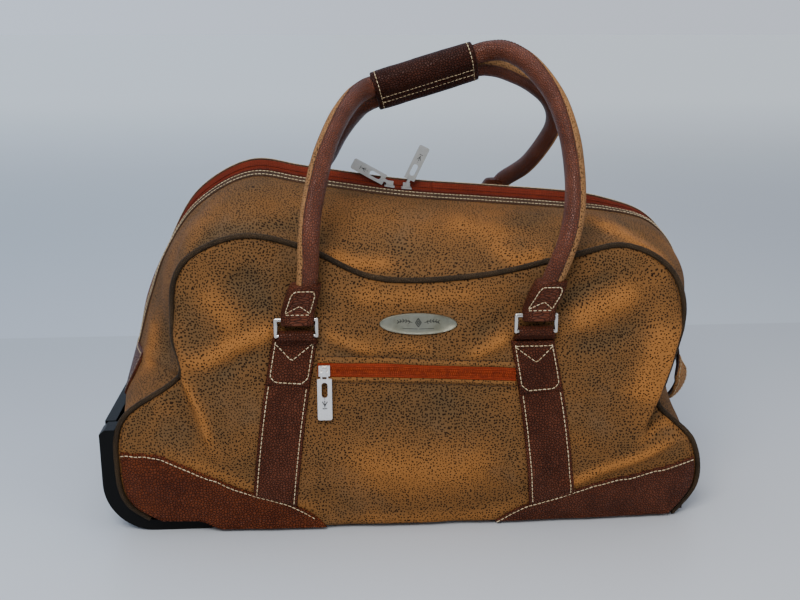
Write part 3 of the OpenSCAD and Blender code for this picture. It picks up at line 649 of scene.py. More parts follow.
NUBUCK = nubuck("nubuck_speckled")
NUBUCK_PLAIN = nubuck("nubuck_handle_core", base=(0.30, 0.150, 0.060), worn=(0.42, 0.20, 0.075),
                      dusky=(0.13, 0.075, 0.038))
BROWN = pebbled("leather_pebbled_brown")
HANDLE = pebbled("leather_handle_brown", base=(0.104, 0.027, 0.0115), tint=(0.205, 0.060, 0.030), cell=2.1,
                 rough=(0.26, 0.44), spec=0.28)
WRAP = pebbled("leather_wrap_brown", base=(0.034, 0.0092, 0.0050), deep=(0.006, 0.002, 0.0014),
               tint=(0.062, 0.017, 0.009), cell=2.6, rough=(0.34, 0.54), spec=0.12)
BROWN_RED = pebbled("leather_pebbled_red_brown", base=(0.086, 0.0185, 0.0065), deep=(0.012, 0.0032, 0.0018),
                    tint=(0.150, 0.035, 0.011), cell=2.6, spec=0.10)
BROWN_DARK = pebbled("leather_dark_brown", base=(0.036, 0.013, 0.0075), deep=(0.009, 0.0035, 0.0022),
                     tint=(0.060, 0.024, 0.014), cell=1.8, rough=(0.38, 0.56), spec=0.2)
PIPING = pebbled("leather_piping", base=(0.040, 0.026, 0.014), deep=(0.010, 0.007, 0.004),
                 tint=(0.085, 0.050, 0.024), cell=1.6, rough=(0.5, 0.68), spec=0.15)
HEM = pebbled("leather_hem", base=(0.065, 0.032, 0.018), deep=(0.018, 0.009, 0.005),
              tint=(0.12, 0.058, 0.030), cell=1.7, rough=(0.46, 0.62), spec=0.18)
LINING = cloth("lining_cloth", (0.115, 0.085, 0.062), (0.050, 0.038, 0.030), 1.1)
ZIP_TAPE = cloth("zipper_tape", (0.33, 0.040, 0.008), (0.13, 0.014, 0.004), 0.9, 0.72)
# the top zipper's tape: a darker copy of the pocket zipper's tape, painted shade
ZIP_TAPE_TOP_PAINTED_SHADE = cloth("zipper_tape_top_painted_shade", (0.20, 0.026, 0.008), (0.080, 0.010, 0.004), 0.9, 0.75)
ZIP_COIL = thread("zipper_coil", (0.36, 0.052, 0.010), (0.15, 0.018, 0.005))
# the top zipper's coil: a darker copy of the pocket zipper's coil, painted shade
ZIP_COIL_TOP_PAINTED_SHADE = thread("zipper_coil_top_painted_shade", (0.15, 0.018, 0.006), (0.060, 0.008, 0.004))
CREAM = thread("thread_cream", (0.74, 0.60, 0.38), (0.46, 0.34, 0.19))
DARK_THREAD = thread("thread_brown", (0.090, 0.046, 0.026), (0.035, 0.018, 0.011))
SATIN = metal("metal_satin_nickel", (0.93, 0.905, 0.88), 0.42, 1.0, (0.80, 0.78, 0.75))
DULL = metal("metal_pull_nickel", (0.50, 0.49, 0.46), 0.42, 1.0, (0.40, 0.39, 0.36))
PEWTER = metal("metal_badge_pewter", (0.29, 0.285, 0.225), 0.40, 1.0, (0.20, 0.195, 0.145))
CHROME = metal("metal_polished_ring", (0.66, 0.63, 0.58), 0.20)
INLAY = moulded("badge_inlay_black", (0.008, 0.0075, 0.007), (0.03, 0.03, 0.027), 0.45, spec=0.3)
BLACK = moulded("plastic_black", (0.0030, 0.0031, 0.0032), (0.009, 0.009, 0.009), 0.42, spec=0.12)
BOARD = moulded("board_black_fibre", (0.030, 0.027, 0.025), (0.06, 0.053, 0.047), 0.8, 300, 0.0004, 0.1)
TYRE = moulded("rubber_tyre", (0.012, 0.012, 0.012), (0.045, 0.043, 0.040), 0.72, 500, 0.0003, 0.2)
CORE = moulded("plastic_wheel_core", (0.030, 0.031, 0.033), (0.07, 0.07, 0.07), 0.4, spec=0.3)
BUTTON = moulded("plastic_grey_button", (0.10, 0.10, 0.108), (0.17, 0.17, 0.17), 0.4, spec=0.3)
TUBE = metal("metal_drawn_aluminium", (0.66, 0.67, 0.68), 0.30, 1.0)

SIDES = (("front", True), ("back", False))


def on_body(piece, body, slot, *replaced):
    """Says what a piece rides on and hides the CAD nodes that it stands in for. slot is not used."""
    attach(piece, body)
    if replaced:
        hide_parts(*replaced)


def on_bag(piece, slot, *replaced):
    on_body(piece, "bag", slot, *replaced)


def on_flap(piece, side, half, slot, *replaced):
    """A piece of the soft top, with its transform baked into its mesh and the CAD nodes that it stands in for
    hidden.
    """
    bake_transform(piece)
    if replaced:
        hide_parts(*replaced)


# ---------------------------------------------------------------- faces
def face(side, front):
    """A full soft face: leather, foam and lining as one crowned sheet."""
    u, v = np.meshgrid(np.linspace(0, 1, 261), np.linspace(0, 1, 141))
    u = smooth(u) * 0.35 + u * 0.65
    p = face_xz(u, v)
    x, z = p[..., 0], p[..., 1]
    # the leather turns in at its seams, and the rolls overhang a little
    reach = np.minimum(np.minimum(u, 1 - u) * 460, (1 - v) * 240)
    depth = face_depth(x, z, front)
    depth = depth - 2.6 * (1 - smooth(reach / 8)) ** 2 - 3.0 * (1 - smooth(v * 240 / 9)) ** 2
    share = 1.0 if front else 0.3
    left = bump(x, np.interp(z, *LEFT_ROLL[:2]) + 5, 6) * smooth((z - 120) / 30) * smooth((215 - z) / 25)
    right = bump(x, np.interp(z, *RIGHT_ROLL[:2]) - 4, 7) * smooth((z - 84) / 14) * smooth((212 - z) / 30)
    left, right = share * left, share * right
    moved = x - 3.5 * left + 4.0 * right
    _, wear_and_highlight, painted_shade = relief(x, z, FRONT_FOLDS if front else BACK_FOLDS)
    # rubbed: the two rolls painted lighter, a painted highlight, and the seams lighter, wear; the leather sunk
    # beyond the rolls gets painted shade
    rubbed = 0.2 * left + 0.12 * right + 0.25 * (1 - smooth(reach / 12)) * (z < 200)
    attrs = {"wear_and_highlight": np.clip(0.85 * wear_and_highlight + rubbed, 0, 1),
             "painted_shade": np.clip(painted_shade + rolls(x, z, front) / 16, 0, 1)}
    outer = np.stack([moved, depth, z], -1)
    inner = np.stack([x, depth - PANEL - 1.5 * (1 - left - right), z], -1)
    piece = sheet_solid("face_" + side, outer, inner, [NUBUCK, LINING], front, p, attrs)
    on_bag(piece, "tan_leather", side + "_panel")


def trim_on_face(name, rows, front, material, thick=2.0, edge=1.6, lift=0.25):
    """A leather piece laid on a face. rows is a grid of [x, z]; its edges are turned down."""
    near = []
    for axis in (0, 1):
        far = np.cumsum(np.linalg.norm(np.diff(rows, axis=axis), axis=2), axis)
        far = np.insert(far, 0, 0, axis)
        near.append(np.minimum(far, np.take(far, [-1], axis) - far))
    near = np.minimum(*near)
    height = thick * rounded(near / edge) - 0.45 * bump(near, 3.2, 0.8) + 0.5 * smooth((near - 4) / 8)
    outer, inner = (on_face(rows[..., 0], rows[..., 1], off, front) for off in (lift + height, lift - 0.6))
    return sheet_solid(name, outer, inner, [material], front, rows)


def edge_spaced(count, width, edge=1.6):
    """Shares from 0 to 1 across a width, closer together at its two edges."""
    rim = np.array([0, 0.15 * edge, 0.45 * edge])
    return np.concatenate([rim, np.linspace(edge, width - edge, count - 6), width - rim[::-1]]) / width


# Each front strap's upper and lower corners as [x, z], and where its folded
# patch ends. The back straps reach higher.
STRAP_TOP = {"left": [(-135, 190), (-95, 190)], "right": [(78.5, 182), (118.5, 182)]}
STRAP_LOW = {"left": [(-157.5, 38), (-117.5, 26)], "right": [(100, 20), (142.5, 30)]}
BOX_LOW = {"left": 146, "right": 134}
BACK_RISE = 52
STRAP_WIDTH = 40


def strap(side, front, half):
    """A carry strap with its folded-over top patch, and both stitched down."""
    rise = 0 if front else BACK_RISE
    (x0, z0), (x1, z1) = STRAP_TOP[half]
    (a0, c0), (a1, c1) = STRAP_LOW[half]
    z0, z1 = z0 + rise, z1 + rise

    def at(across, along, inset=0.0):
        """[x, z] at shares across and along the strap, its edges moved in by inset."""
        x = lerp(lerp(x0 + inset, x1 - inset, across), lerp(a0 + inset, a1 - inset, across), along)
        z = lerp(lerp(z0, z1, across), lerp(c0, c1, across), along)
        bow = 2.0 * np.sin(np.pi * along) * (1 if half == "right" else -1)
        return np.stack([x + bow, z], -1)

    def row(shares, off):
        """A line through shares across and along the strap, off the face."""
        p = at(*np.transpose(shares))
        return to_side(on_face(p[:, 0], p[:, 1], off, front), front)

    s = edge_spaced(24, STRAP_WIDTH)[None, :]
    grid = at(s, edge_spaced(70, 150 + rise)[:, None])
    piece = trim_on_face(f"strap_{side}_{half}", grid, front, BROWN, thick=2.2)
    on_bag(piece, "brown_leather", *([side + "_straps"] if half == "left" else []))
    low = (z0 - BOX_LOW[half] - rise) / (z0 - (c0 + c1) / 2)
    patch = at(s, edge_spaced(26, 46)[:, None] * low, 0.6)
    on_bag(trim_on_face(f"strap_patch_{side}_{half}", patch, front, BROWN, lift=2.3), "brown_leather")
    e = 3.2 / STRAP_WIDTH
    lines = [row([(k, f) for f in np.linspace(low + 0.01, 0.985, 40)], 2.75) for k in (e, 1 - e)]
    box = [(e, 0.02), (e, low - 0.05), (2.6 * e, low - 0.018)]
    box += [(1 - across, along) for across, along in box[::-1]]
    tent = [(e, 0.035), (0.5, 0.035 + 15 / (z0 - c0)), (1 - e, 0.035)]
    lines.append(row(dense(box, 0.01), 4.75))
    lines.append(row(dense([(e, 0.03), (1 - e, 0.03)], 0.02), 4.85))
    lines.append(row(dense(tent, 0.02), 4.85))
    on_bag(stitched(f"strap_stitching_{side}_{half}", lines, CREAM, facing(front)), "brown_leather")


def strap_loop(side, front, half, ring_z, ring_y, x):
    """The strap's end, folded round the ring's lower bar."""
    turn = np.linspace(math.radians(-62), math.radians(232), 30)[:, None]
    turn, w = np.broadcast_arrays(turn, edge_spaced(18, 31) * 31 - 15.5)
    edge = np.clip((15.5 - np.abs(w)) / 1.4, 0, 1)
    r_out = 2.35 + 2.5 * np.sqrt(1 - (1 - edge) ** 2 * 0.9) + 0.25 * value_noise(w / 6 + 9, turn * 2, 3)
    outer, inner = (np.stack([x + w, ring_y + r * np.cos(turn), ring_z + r * np.sin(turn)], -1)
                    for r in (r_out, 2.2))
    on_bag(sheet_solid(f"strap_loop_{side}_{half}", outer, inner, [BROWN], front), "brown_leather")
    # the two layers under the loop, down to the strap
    d, w = np.broadcast_arrays(np.linspace(0, 1, 14)[:, None], edge_spaced(18, 33) * 33 - 16.5)
    face_y = float(face_depth(x, ring_z - 8, front))
    y, z = lerp(ring_y + 3.2, face_y + 4.6, smooth(d)), lerp(ring_z - 1.5, ring_z - 8.0, d)
    thick = 1.6 * rounded((16.5 - np.abs(w)) / 1.4)
    outer, inner = (np.stack([x + w * (1 + 0.16 * d), y + off, z], -1) for off in (thick, -5.0))
    on_bag(sheet_solid(f"strap_neck_{side}_{half}", outer, inner, [BROWN], front), "brown_leather")


# The upper edges of the corner patches, as [x, z].
PATCH_TOP = {
    "left": [(-279, 79.5), (-258, 79.5), (-243, 79), (-230, 74.5), (-214, 67), (-188, 55), (-161, 42.5),
             (-124, 29.5), (-106, 19), (-96, 10.5), (-88, 3)],
    "right": [(62, 1), (76, 9), (90, 17.5), (111, 24.5), (144, 34), (168, 42), (187, 45.5), (215, 51),
              (240, 56), (256, 60)],
}


def corner_patch(side, front, half):
    """The dark patch over a lower corner, and the row of stitches on its edge."""
    top = np.array(PATCH_TOP[half], float)
    u = np.linspace(0.004, 0.352, 90) if half == "left" else np.linspace(0.62, 0.996, 96)
    share = np.concatenate([[0, 0.004, 0.015], np.linspace(0.03, 0.9, 24), [0.94, 0.965, 0.985, 0.995, 1]])
    columns = []
    for line in face_xz(*np.meshgrid(u, np.linspace(0, 1, 200), indexing="ij")):
        above = line[:, 1] > np.interp(line[:, 0], top[:, 0], top[:, 1])
        last = int(np.argmax(above)) if above.any() else len(line) - 1
        if last >= 4:
            far = np.linspace(0, 1, last + 1)
            columns.append(np.stack([np.interp(share, far, line[:last + 1, k]) for k in (0, 1)], -1))
    grid = np.array(columns).transpose(1, 0, 2)
    material = BROWN_RED if half == "left" else BROWN
    piece = trim_on_face(f"corner_patch_{side}_{half}", grid, front, material, thick=1.6, edge=1.4, lift=0.3)
    on_bag(piece, "brown_leather", *([side + "_corner_patches"] if half == "left" else []))
    rim = grid[-1][::4]
    edge = dense(curve(rim, np.linspace(0, len(rim) - 1, 260)) - [0, 3.0], 1.5)
    line = to_side(on_face(edge[:, 0], np.maximum(edge[:, 1], 3.5), 1.9, front), front)
    on_bag(stitched(f"corner_stitching_{side}_{half}", [line], CREAM, facing(front)), "brown_leather")


def piping(side, front):
    """The piped seam: a covered cord with the seam's small puckers."""
    t = np.linspace(0.3, 19.97, 560)
    p, out = curve(SEAM, t), normal(SEAM, t)
    c = p + 2.3 * out
    hidden = 3.2 * bump(t, 5.0, 0.7) if front else 0
    path = np.stack([c[:, 0], seam_depth(t, front) - 2.4 - hidden, np.maximum(c[:, 1], 2.8)], -1)
    radius = 2.5 + 0.10 * value_noise(t * 9, t * 0, 12) + 0.05 * np.sin(t * 60)
    on_bag(tube("piping_" + side, to_side(path, front), radius, PIPING), "piping", side + "_piping")
    # the seam's own stitches, just inside the piping on the face
    inner = p - 2.6 * out
    line = to_side(np.stack([inner[:, 0], seam_depth(t, front) - 0.5, inner[:, 1]], -1)[20:-20], front)
    stitches = stitched("piping_stitching_" + side, [line], DARK_THREAD, facing(front), 3.4, 2.6, 0.35)
    on_bag(stitches, "piping")


# ---------------------------------------------------------------- boxing
HALVES = {"left": (FIRST_BOXING, BOXING_SPLIT), "right": (BOXING_SPLIT, LAST_BOXING)}
HEM_WIDTH, HEM_ROWS = 10.5, (0.26, 0.76)  # and its stitch rows, as shares across it


def boxing_half(side, front, half):
    """The soft gusset between a piped seam and the zipper, and its folded edge."""
    t0, t1 = HALVES[half]
    t = np.linspace(t0, t1, 170)[:, None]
    s = np.concatenate([np.linspace(0.064, 0.2, 12), np.linspace(0.22, 0.93, 46), [0.95, 0.97, 0.985, 1.0]])
    outer, inner = boxing(t, s, 0.0, front), boxing(t, s, -PANEL, front)
    # the seam allowance, turned in behind the piping
    last_o, last_i = outer[:, -1:], inner[:, -1:]
    drop, tail = last_i - last_o, np.array([1.5, 3.0, 4.5])[None, :, None]
    outer = np.concatenate([outer, last_o + drop * tail - [0, 0.4, 0]], 1)
    inner = np.concatenate([inner, last_i + drop * (tail - 0.6) - [0, 2.6, 0]], 1)
    _, wear_and_highlight, painted_shade = relief(outer[..., 0], outer[..., 2], TOP_FOLDS if front else [])
    rim = np.concatenate([s, [1, 1, 1]]) + 0 * t
    rubbed = 0.25 * bump(rim, 0.55, 0.2) * (value_noise(t * 1.7 + rim, rim * 4, 21) + 0.4)
    # painted shade: darker towards the piping seam and in a band across the boxing's middle
    dusk = 0.5 * smooth((rim - 0.93) / 0.06) + 0.22 * bump(rim, 0.45, 0.35)
    attrs = {"wear_and_highlight": np.clip(wear_and_highlight + rubbed, 0, 1), "painted_shade": np.clip(painted_shade + dusk, 0, 1)}
    uv = grid_uv(outer)
    if half == "right":
        left_t = np.linspace(*HALVES["left"], 170)[:, None]
        uv[..., 1] += grid_uv(boxing(left_t, s, 0.0, front))[-1, 0, 1]
    piece = sheet_solid(f"boxing_{side}_{half}", outer, inner, [NUBUCK, LINING], front, uv, attrs)
    piece.data.set_sharp_from_angle(angle=math.radians(60))
    on_flap(piece, side, half, "tan_leather", f"{half}_end_{side}", side + "_flap")
    # the folded edge strip along the zipper, with two rows of stitches
    e = edge_spaced(16, HEM_WIDTH)
    near = np.minimum(e, 1 - e) * HEM_WIDTH
    height = 1.5 * rounded(near / 1.3) - 0.3 * sum(bump(e, f, 0.07) for f in HEM_ROWS)
    t = np.linspace(t0 + (0.9 if half == "left" else 0), t1 - (2.6 if half == "right" else 0), 240)
    outer, inner = (boxing(t[:, None], lerp(HEM_EDGE, HEM_END, e), off, front) for off in (height, -0.6))
    on_flap(sheet_solid(f"hem_{side}_{half}", outer, inner, [HEM], front), side, half, "brown_leather")
    rows = [to_side(boxing(t, lerp(HEM_EDGE, HEM_END, f), 1.62, front), front) for f in HEM_ROWS]
    lift = unit(to_side(boxing(t, 0.3, 5.0, front) - boxing(t, 0.3, 0.0, front), front)).mean(0)
    stitches = stitched(f"hem_stitching_{side}_{half}", rows, CREAM, lift, 3.6, 3.0, 0.48)
    on_flap(stitches, side, half, "brown_leather")


def zipper_half(side, front, half):
    """One tape of the main zipper and its half of the coil."""
    t = np.linspace(*{"left": (3.95, BOXING_SPLIT), "right": (BOXING_SPLIT, 16.2)}[half], 240)
    s = np.linspace(0.010, 0.085, 9)
    sag = -0.5 * bump(s, 0.045, 0.02)
    outer, inner = (boxing(t[:, None], s, off + sag, front) for off in (0.35, -0.5))
    tape = sheet_solid(f"zip_tape_{side}_{half}", outer, inner, [ZIP_TAPE_TOP_PAINTED_SHADE], front)
    on_flap(tape, side, half, "zip_tape", side + "_main_zip", "end_zip_runs")

    def line(share, off):
        return dense(to_side(boxing(t, share, off, front, folds=False), front), 1.0)

    # the coil: a rib across every 2.1 mm, and the chain stitch that holds it
    centres, along = spread_along(line(0.011, 0.7), 2.1, 0.25 if front else 0.75)
    sideways = np.broadcast_to([0, 1.0, 0], centres.shape)
    ribs = beads(centres, sideways, 3.9, 0.62, np.cross(along, sideways))
    chain = beads(*spread_along(line(0.030, 0.75), 2.1), 2.0, 0.42, [0, 0, 1.0])
    on_flap(joined(f"zip_coil_{side}_{half}", [ribs, chain], ZIP_COIL_TOP_PAINTED_SHADE), side, half, "zip_tape")


# ---------------------------------------------------------------- trim on the ends
def end_trim(name, t_range, s_half, replaced, rows, shape=np.ones_like):
    """A dark band over the middle of an end, with stitches near its edges. shape
    is the share of its width at t."""
    def over(t, s, off):
        """A point of the ends, where s below zero is the back's."""
        p = boxing(t, np.abs(s), off, folds=False)
        p[..., 1] *= np.where(s < 0, -1, 1)
        return p

    depth = 130
    t = lerp(*t_range, edge_spaced(rows, 60))[:, None]
    s = (edge_spaced(44, 110) * 2 - 1) * s_half * shape(t)
    near = np.minimum((1 - np.abs(s) / np.abs(s[:, -1:])) * depth * s_half,
                      np.minimum(t - t[0], t[-1] - t) * 45)
    height = 2.1 * rounded(near / 1.5) - 0.4 * bump(near, 3.4, 0.8) + 0.3
    on_bag(sheet_solid(name, over(t, s, height), over(t, s, -0.5), [BROWN], False), "brown_leather", replaced)
    t = np.linspace(t_range[0] + 0.08, t_range[1] - 0.08, 60)
    reach = s_half * shape(t) - 3.4 / depth
    lines = [over(t, sign * reach, 2.1) for sign in (-1, 1)]
    top = -1 if t[0] < BOXING_SPLIT else 0
    lines.append(over(np.full(50, t[top]), np.linspace(-1, 1, 50) * reach[top], 2.1))
    high, low = (boxing(np.mean(t), 0.2, off, folds=False) for off in (5.0, 0.0))
    on_bag(stitched(name + "_stitching", lines, CREAM, unit(high - low)), "brown_leather")


GRIP_PATH = [(262, 158), (272, 146), (282, 124), (288, 100), (288, 88), (280, 74), (266, 64)]


def end_grip():
    """The grab handle on the trolley end: a folded strap, wider at its middle."""
    t = np.linspace(0, 6, 90)
    p, out = curve(GRIP_PATH, t), normal(GRIP_PATH, t)
    w = edge_spaced(26, 26)[None, :] * 2 - 1
    half = (11.5 + 3.0 * bump(t, 3.1, 1.5))[:, None]
    edge = np.clip((1 - np.abs(w)) * 13 / 1.6, 0, 1)
    thick = 2.0 * rounded(edge) + 1.2 * bump(w, 0, 0.45)
    # its lower half is turned a little towards the pocket side
    turn = (np.radians(38) * smooth((t - 1.6) / 1.6) * smooth((5.9 - t) / 0.9))[:, None]

    def place(y, offset, rows=slice(None)):
        """Points y across the strap and offset off it, as it turns."""
        c, s = np.cos(turn[rows]), np.sin(turn[rows])
        away = offset * c + y * s
        return np.stack([p[rows, :1] + out[rows, :1] * away, y * c - offset * s,
                         p[rows, 1:] + out[rows, 1:] * away], -1)

    outer, inner = place(w * half, 0.2 + thick * 0.6), place(w * half, -0.2 - thick * 0.7)
    on_bag(sheet_solid("end_grip_back", outer, inner, [BROWN_DARK], False), "brown_leather", "end_handle")
    # the tan facing over its lower half, as a folded tab
    first, last = 34, 78
    rows = slice(first, last)
    share = np.minimum(smooth((t[rows] - t[first]) / 0.8), smooth((t[last - 1] - t[rows]) / 0.8))
    reach = half[rows] * (share[:, None] * 0.62 + 0.42) * 0.98
    outer = place(w * reach, 0.2 + thick * 0.6 + 1.3 * np.sqrt(edge), rows)
    inner = place(w * reach, 0.1 + thick * 0.5, rows)
    attrs = {"wear_and_highlight": np.full(outer.shape[:2], 0.4), "painted_shade": np.zeros(outer.shape[:2])}
    on_bag(sheet_solid("end_grip_facing", outer, inner, [NUBUCK_PLAIN], False, attrs=attrs), "tan_leather")
    reach, rows = np.maximum(reach[1:-1] - 2.6, 0.4), slice(first + 1, last - 1)
    lines = [place(sign * reach, 3.3, rows)[:, 0] for sign in (-1, 1)]
    on_bag(stitched("end_grip_stitching", lines, CREAM, [0.8, -0.5, 0.1]), "brown_leather")


# ---------------------------------------------------------------- pocket
def pocket():
    """The front pocket's zipper in its welt, with a coil and stitched lips."""
    x = np.linspace(-96, 84, 150)
    middle = lerp(159.0, 150.0, (x + 94) / 176)
    out = facing(True)

    def line(rise, off, step=0.8):
        return dense(to_side(on_face(x, middle + rise, off), True), step)

    wide, across = np.meshgrid(x, np.linspace(-6.2, 6.2, 15), indexing="ij")
    z = middle[:, None] + across
    outer = on_face(wide, z, 0.95 - 0.25 * bump(across, 0, 0.8))
    on_bag(sheet_solid("pocket_tape", outer, on_face(wide, z, 0.1), [ZIP_TAPE]), "zip_tape", "pocket_zipper")
    parts = []
    for row in (-1, 1):
        centres, _ = spread_along(line(row * 1.35, 1.3), 1.7, 0.25 if row < 0 else 0.75)
        parts.append(beads(centres, np.broadcast_to([0, 0, 1.0], centres.shape), 2.9, 0.55, out))
        parts.append(beads(*spread_along(line(row * 3.6, 1.15), 1.9), 1.8, 0.42, out))
    on_bag(joined("pocket_coil", parts, ZIP_COIL), "zip_tape")
    w = np.linspace(0, 1, 14)
    crown = 1.9 * rounded(2 * w) * (1 - smooth((w - 0.5) * 2))
    for name, row in (("upper", 1), ("lower", -1)):
        wide, z = np.broadcast_arrays(x[:, None], middle[:, None] + row * (6.0 + 5.2 * w))
        # the outer half of each lip, sloping into its seam, gets painted shade
        attrs = {"wear_and_highlight": np.full(z.shape, 0.25), "painted_shade": 0.35 * (w > 0.5) + 0 * z}
        outer, inner = on_face(wide, z, 0.25 + crown), on_face(wide, z, -0.3)
        uv = np.stack([wide, z], -1)
        on_bag(sheet_solid("pocket_lip_" + name, outer, inner, [NUBUCK], True, uv, attrs), "tan_leather")
        seam = [line(row * 11.8, 0.25, 1.0)]
        on_bag(stitched("pocket_stitching_" + name, seam, DARK_THREAD, out, 3.4, 2.6, 0.34), "tan_leather")


# ---------------------------------------------------------------- metal work
def inlaid(line, length, radius, lift):
    """Flat beads along a line, one between each two of its points."""
    return beads((line[:-1] + line[1:]) / 2, line[1:] - line[:-1], length, radius, lift, 5, 0.5)


# The badge's rings from its back to its middle: share of the outline, and height.
BADGE_LEVELS = [(1.0, 0.0), (1.0, 1.5), (0.975, 2.05), (0.945, 2.2), (0.915, 2.05), (0.895, 1.55),
                (0.88, 1.45), (0.6, 1.62), (0.3, 1.7), (0.02, 1.72)]
BADGE_HALF = np.array([35.0, 9.5])
BADGE_X, BADGE_Z = -5, 198


def badge():
    """An oval pewter plate with a raised rim and a plain ornament."""
    # the plate lies on the leather under it: a plane through the face, lifted clear
    gx, gz = np.meshgrid(np.linspace(-38, 28, 25), np.linspace(190, 206, 9))
    depth = face_depth(gx, gz).ravel()
    design = np.stack([np.ones(gx.size), gx.ravel() - BADGE_X, gz.ravel() - BADGE_Z], -1)
    fit = np.linalg.lstsq(design, depth, rcond=None)[0]
    fit[0] += max(0.0, np.percentile(depth - design @ fit, 90)) - 0.1

    def place(q):
        """Points of the badge, from its own axes to the row frame."""
        x, up = q[:, 0], q[:, 1] - q[:, 0] * 0.018
        return np.stack([x + BADGE_X, -(fit[0] + fit[1] * x + fit[2] * up + q[:, 2]), up + BADGE_Z], -1)

    ang = np.linspace(0, 2 * np.pi, 96, endpoint=False)
    rings = []
    for share, height in BADGE_LEVELS:
        a, b = BADGE_HALF - (1 - share) * BADGE_HALF[1] if share > 0.8 else BADGE_HALF * share
        rings.append(place(np.stack([a * np.cos(ang), b * np.sin(ang), np.full(len(ang), height)], -1)))
    on_bag(lofted("badge_plate", rings, PEWTER), "satin_metal", "badge")
    # plain ornament: a small diamond between two sprays of leaves, over a line
    parts = []

    def stroke(points, radius=0.28):
        line = dense(points, 0.5)
        line = place(np.column_stack([line, np.full(len(line), 1.66)]))
        parts.append(inlaid(line, 0.95, radius, facing(True)))

    for sign in (-1, 1):
        bend = np.linspace(0, 1, 12)
        stroke(np.stack([sign * (5.5 + 13 * bend), 1.2 + 1.6 * np.sin(bend * 3.0)], -1))
        for k in (0.15, 0.35, 0.55, 0.75, 0.92):
            x0, y0 = sign * (5.5 + 13 * k), 1.2 + 1.6 * math.sin(k * 3.0)
            stroke([(x0, y0), (x0 + sign * 1.5, y0 + 1.7)], 0.36)
            stroke([(x0, y0), (x0 + sign * 1.6, y0 - 1.5)], 0.36)
        stroke([(sign * 1.0, -4.4), (sign * 14, -3.9)], 0.22)
    stroke([(0, 5.0), (2.6, 1.2), (0, -2.6), (-2.6, 1.2), (0, 5.0)], 0.42)
    stroke([(0, 2.8), (1.1, 1.2), (0, -0.4), (-1.1, 1.2), (0, 2.8)], 0.42)
    on_bag(joined("badge_ornament", parts, INLAY), "black_plastic")


def bevelled(name, width):
    """Softens the edges of a carried-over CAD node, whose own mesh stays as it is."""
    modifier = cad[name].modifiers.new("edges", "BEVEL")
    modifier.width = width * MM
    modifier.segments = 2
    modifier.limit_method = "ANGLE"
    modifier.angle_limit = math.radians(35)
    modifier.harden_normals = True


def repaint(name, material):
    materials = cad[name].data.materials
    materials.clear()
    materials.append(material)


PULL_MARK = [[(0, 0), (2.2, 4)], [(0, 0), (-2.2, 4)], [(0, -1.2), (0, 5)], [(-2.0, -2.6), (2.0, -2.6)],
             [(0, 6.3), (0, 7.2)]]


def pull_ornament(name, origin, along, across, body, size=1.0):
    """A plain inlaid mark on both sides of a pull, near its end: two small leaves
    over a bar."""
    along, across = unit(along), unit(across)
    out = np.cross(across, along)
    parts = []
    for side in (-1, 1):
        for line in PULL_MARK:
            q = dense(np.array(line) * size, 0.4)
            p = np.asarray(origin) + q[:, :1] * across + q[:, 1:] * along + out * side * 0.93
            parts.append(inlaid(p, 0.8, 0.34 * size, out))
    on_body(joined(name, parts, INLAY), body, "black_plastic")


# ---------------------------------------------------------------- handles
# Each handle's middle line as [x, y, z], from its left tab over the grip to its right one.
HANDLE_PATHS = {
    "front": [
        (-106, -146, 226), (-104.5, -146, 234), (-102.5, -146, 254), (-101.5, -144, 278), (-98, -131, 306),
        (-89, -104, 342), (-76, -70, 370), (-62, -39, 388), (-48, -15, 397.5), (-32, -7.5, 402.6),
        (-10, -7.5, 409.2), (12, -7.5, 415.8), (34, -7.5, 422.4), (56, -7.5, 429), (72, -10, 433),
        (90, -20, 433), (109, -38, 421), (126, -61, 397), (135, -85, 368), (137.5, -107, 338),
        (135.5, -127, 306), (129, -141, 279), (119.5, -146, 254), (111.5, -146, 234), (109, -146, 226)],
    "rear": [
        (-109, 141.5, 279), (-106, 140, 286), (-97, 124, 302), (-85, 98, 320), (-72, 62, 348),
        (-58, 34, 370), (-46, 14, 383), (-32, 7.5, 389.6), (-10, 7.5, 396.2), (12, 7.5, 402.8),
        (34, 7.5, 409.4), (56, 7.5, 416), (74, 11, 418.5), (98, 20, 413), (128, 39, 399), (150, 55, 380),
        (158, 73, 357), (150, 93, 331), (136, 116, 306), (117, 138.5, 288), (111, 141.5, 279)],
}
LOOP_MIDDLE = {"front": (12, 330), "rear": (22, 320)}
CORE_R, COVER_R = (6.0, 9.15), (5.6, 9.75)  # inner and outer radii


def arc_tube(name, path, centre, radii, angles, turn, material, drop, attrs=False):
    """Part of a rolled cover: it spans the given angles from the outward side,
    with turn added at each point, and its two edges drop away."""
    _, out, side = frames(path, centre)
    span = np.radians(np.linspace(*angles, 40))[None, :]
    a = (span + np.radians(turn)[:, None])[..., None]
    arc = (span - span[0, 0]) * radii[1]
    near = np.minimum(arc, arc[0, -1] - arc)
    wobble = 0.16 * value_noise(np.arange(len(path))[:, None] / 7.0, span * 2, 31)
    r_out = radii[1] - drop * (1 - rounded(near / 0.9)) + wobble - 0.28 * bump(near, 2.1, 0.55)
    way = np.cos(a) * out[:, None] + np.sin(a) * side[:, None]
    outer, inner = path[:, None] + r_out[..., None] * way, path[:, None] + radii[0] * way
    extra = {"wear_and_highlight": np.full(r_out.shape, 0.3), "painted_shade": np.zeros(r_out.shape)} if attrs else None
    return sheet_solid(name, outer, inner, [material], False, attrs=extra)


